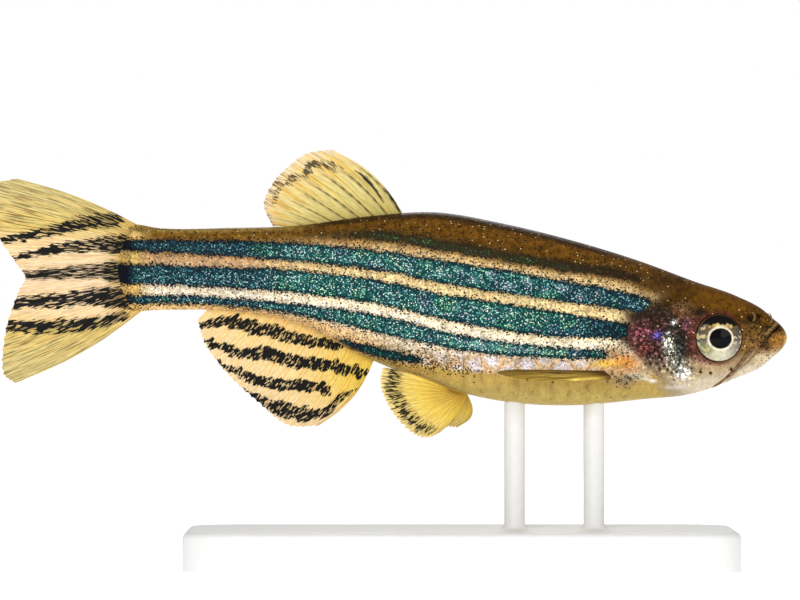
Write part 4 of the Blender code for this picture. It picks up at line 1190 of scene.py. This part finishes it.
def make_feelers(side, name, material):
    """Make a side's two feelers and the flap between its nostrils."""
    parts = []
    for keys, first, last in ((MAXILLARY_BARBEL, 0.17, 0.06), (ROSTRAL_BARBEL, 0.08, 0.03)):
        shares = np.linspace(0, 1, 40)
        path = read_path(keys, shares)
        radii = first + (last - first) * shares
        radii = radii * np.sqrt(1 - ease(shares, 0.92, 1) * 0.9)
        path[:, 1] *= side
        parts.append(bent_tube(path, radii, 16))
    shares = np.linspace(0, 1, 24)
    flat = read_path(NOSTRIL_FLAP, shares)
    y = side * (flank_half_width(flat[:, 0], flat[:, 1]) + 0.02)
    path = np.stack([flat[:, 0], y, flat[:, 1]], axis=1)
    parts.append(bent_tube(path, 0.03 + 0.05 * np.sin(math.pi * shares), 12))
    points, faces = [], []
    for part_points, part_faces in parts:
        start = len(points)
        points += part_points.tolist()
        faces += [tuple(start + corner for corner in face) for face in part_faces]
    obj = add_piece(name, points, faces, material, 60)
    return obj


def stand_material():
    g = Graph("stand")
    place = g.place_mm()
    fine = g.noise(place, 2, 4)
    colour = g.mix(g.step(fine, 0.3, 0.7), (0.84, 0.84, 0.83), (0.87, 0.87, 0.86))
    g.bump(g.noise(place, 14, 3), 0.00002, 0.35)
    return g.finish(colour, g.step(fine, 0.3, 0.7, 0.42, 0.55))


STAND_LENGTH = 32
STAND_WIDTH = 16
STAND_HEIGHT = 2.4
STAND_X = 4.5
STAND_CORNER = 3
ROD_RADIUS = 0.6
ROD_PLACES = {"stand_rod_front": 12.2, "stand_rod_rear": 7.6}


def make_stand(material):
    """Make the base with its rounded edges, and the two rods that carry the fish."""
    turns = round_places(96) + math.radians(1)
    corner_x = np.where(np.cos(turns) > 0, 1, -1) * (STAND_LENGTH / 2 - STAND_CORNER)
    corner_y = np.where(np.sin(turns) > 0, 1, -1) * (STAND_WIDTH / 2 - STAND_CORNER)
    edge = 0.4
    arcs = np.linspace(0, math.pi / 2, 9)
    profile = [(0.12, 0), (0, 0.12)]
    profile += [(edge * (1 - math.cos(arc)), STAND_HEIGHT - edge * (1 - math.sin(arc))) for arc in arcs]
    points = []
    for inset, z in profile:
        reach = STAND_CORNER - inset
        xs = STAND_X + corner_x + reach * np.cos(turns)
        ys = corner_y + reach * np.sin(turns)
        points += [(px, py, z) for px, py in zip(xs, ys)]
    base = add_piece("stand_base", points, capped(len(profile), len(turns)), material, 40)
    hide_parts("stand_base")
    for name, x in ROD_PLACES.items():
        top = float(smooth_through(STATIONS[:, 0], STATIONS[:, 2], x)) + 0.5
        heights = [STAND_HEIGHT + rise for rise in (-0.2, 0, 0.1, 0.3)] + [top - 0.6, top]
        radii = ROD_RADIUS + np.array([0.25, 0.25, 0.1, 0, 0, -0.1])
        path = np.stack([np.full(6, x), np.zeros(6), heights], axis=1)
        points, faces = tube(path, radii, np.array((1, 0, 0)), np.array((0, 1, 0)), 64)
        rod = add_piece(name, points, faces, material, 40)
        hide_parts(name)


def make_studio():
    """Set the camera, a wide flat pale floor, and soft light."""
    camera = bpy.data.cameras.new("camera")
    camera.lens = 300
    camera.sensor_width = 36
    camera.clip_start, camera.clip_end = 0.02, 20
    holder = place_object("camera", camera)
    holder.location = Vector((0.957, -386.7, 15.66)) * MM
    holder.rotation_euler = (math.radians(90), 0, 0)
    bpy.context.scene.camera = holder
    bpy.context.scene.view_settings.view_transform = "Standard"

    points = [(0, 0, 0)]
    radii = (60, 200, 500, 900, 1500)
    for reach in radii:
        points += [(reach * math.cos(turn), reach * math.sin(turn), 0) for turn in round_places(64)]
    faces = [(0, 1 + k, 1 + (k + 1) % 64) for k in range(64)]
    faces += [(1 + a, 1 + b, 1 + c, 1 + d) for a, b, c, d in quads(len(radii), 64, True)]
    mesh = mesh_from("floor", points, faces)
    g = Graph("floor")
    tone = g.noise(g.place_mm(), 0.02, 2)
    g.put(g.shader.inputs["Emission Color"], (1, 1, 1, 1))
    g.put(g.shader.inputs["Emission Strength"], 0.66)
    mesh.materials.append(g.finish(g.mix(tone, (0.9, 0.9, 0.9), (0.92, 0.92, 0.92)), 0.8))
    floor = place_object("floor", mesh)

    world = bpy.data.worlds.new("studio")
    bpy.context.scene.world = world
    world.use_nodes = True
    nodes, links = world.node_tree.nodes, world.node_tree.links
    background = nodes["Background"]
    background.inputs["Color"].default_value = (1, 1, 1, 1)
    seen = nodes.new("ShaderNodeLightPath").outputs["Is Camera Ray"]
    strength = nodes.new("ShaderNodeMapRange")
    strength.inputs["To Min"].default_value = 0.42
    strength.inputs["To Max"].default_value = 1
    links.new(seen, strength.inputs["Value"])
    links.new(strength.outputs["Result"], background.inputs["Strength"])
    for name, place, aim, size, power in (
        ("key", (-40, -200, 120), (4, 0, 15), 80, 0.2),
        ("fill", (130, -160, 60), (4, 0, 15), 80, 0.05),
        ("back", (10, 200, 130), (0, 0, 15), 80, 0.08),
    ):
        light = bpy.data.lights.new(name, "AREA")
        light.shape = "DISK"
        light.size = size * MM
        light.energy = power
        lamp = place_object(name, light)
        lamp.location = Vector(place) * MM
        lamp.rotation_euler = (Vector(aim) - Vector(place)).to_track_quat("-Z", "Y").to_euler()


def on_edge(x_range, column, sink, count=8):
    """Give the root points of a fin that stands on the back or under the belly, sunk into the skin."""
    places = np.linspace(*x_range, count)
    return [(x, 0, float(smooth_through(STATIONS[:, 0], STATIONS[:, column], x)) + sink) for x in places]


def in_middle(points):
    return [(x, 0, z) for x, z in points]


def mirrored(points, side):
    return [(x, -side * y, z) for x, y, z in points]


def make_fins():
    """Make the three middle fins and the two pairs."""
    dorsal = fin_material("dorsal_fin", (0.1, 0.072, 0.035), 0.16, 0.4, (14, 3, 1))
    anal = fin_material("anal_fin", (0.004, 0.004, 0.003), 0.06, 0.2, (14, 5, 1))
    caudal = fin_material("caudal_fin", (0.004, 0.004, 0.003), 0.13, 0.24, (11, 2.4, 1))
    paired = fin_material("paired_fin", (0.03, 0.024, 0.008), 0.12, 0.45, (10, 3, 1))
    make_fin("dorsal_fin", on_edge(DORSAL_ROOT, 1, -0.35), in_middle(DORSAL_TIPS), DORSAL_BOWS, 9, (0, 1, 0),
             paint_dorsal, dorsal, wave=0.12, split=0.3, fringe=0.05, jitter=0.2)
    make_fin("anal_fin", on_edge(ANAL_ROOT, 2, 0.35), in_middle(ANAL_TIPS), ANAL_BOWS, 14, (0, 1, 0),
             paint_anal, anal, wave=-0.12, jitter=0.2)
    roots = [(tail_end_x(z) + 0.5, 0, z) for z in np.linspace(*CAUDAL_ROOT_LEVELS, 9)]
    make_fin("caudal_fin", roots, in_middle(CAUDAL_TIPS), CAUDAL_BOWS, 18, (0, 1, 0), paint_caudal,
             caudal, wave=0.1, split=0.35)
    pelvic_outlines = ((PELVIC_TIPS, PELVIC_BOWS), (LEFT_PELVIC_TIPS, LEFT_PELVIC_BOWS))
    for (word, side), (outline, bows) in zip((("right", RIGHT), ("left", LEFT)), pelvic_outlines):
        make_fin("pelvic_fin_" + word, mirrored(PELVIC_ROOT, side), mirrored(outline, side), bows, 13,
                 (0, 1, -0.35 * side), paint_pelvic, paired, fringe=0.12)
        make_fin("pectoral_fin_" + word, mirrored(PECTORAL_ROOT, side), mirrored(PECTORAL_TIPS, side),
                 (0,) * len(PECTORAL_TIPS), 10, (0.05, 0.3 * side, 1), paint_pectoral, paired)


def main():
    make_studio()
    flesh = skin_material()
    make_skin(flesh)
    make_scales(RIGHT, "scales_right", flesh)
    make_scales(LEFT, "scales_left", flesh)
    eye = eye_material()
    make_eye("eye_right", RIGHT, eye)
    make_eye("eye_left", LEFT, eye)
    feeler = feeler_material()
    make_feelers(RIGHT, "feelers_right", feeler)
    make_feelers(LEFT, "feelers_left", feeler)
    make_fins()
    make_stand(stand_material())


main()
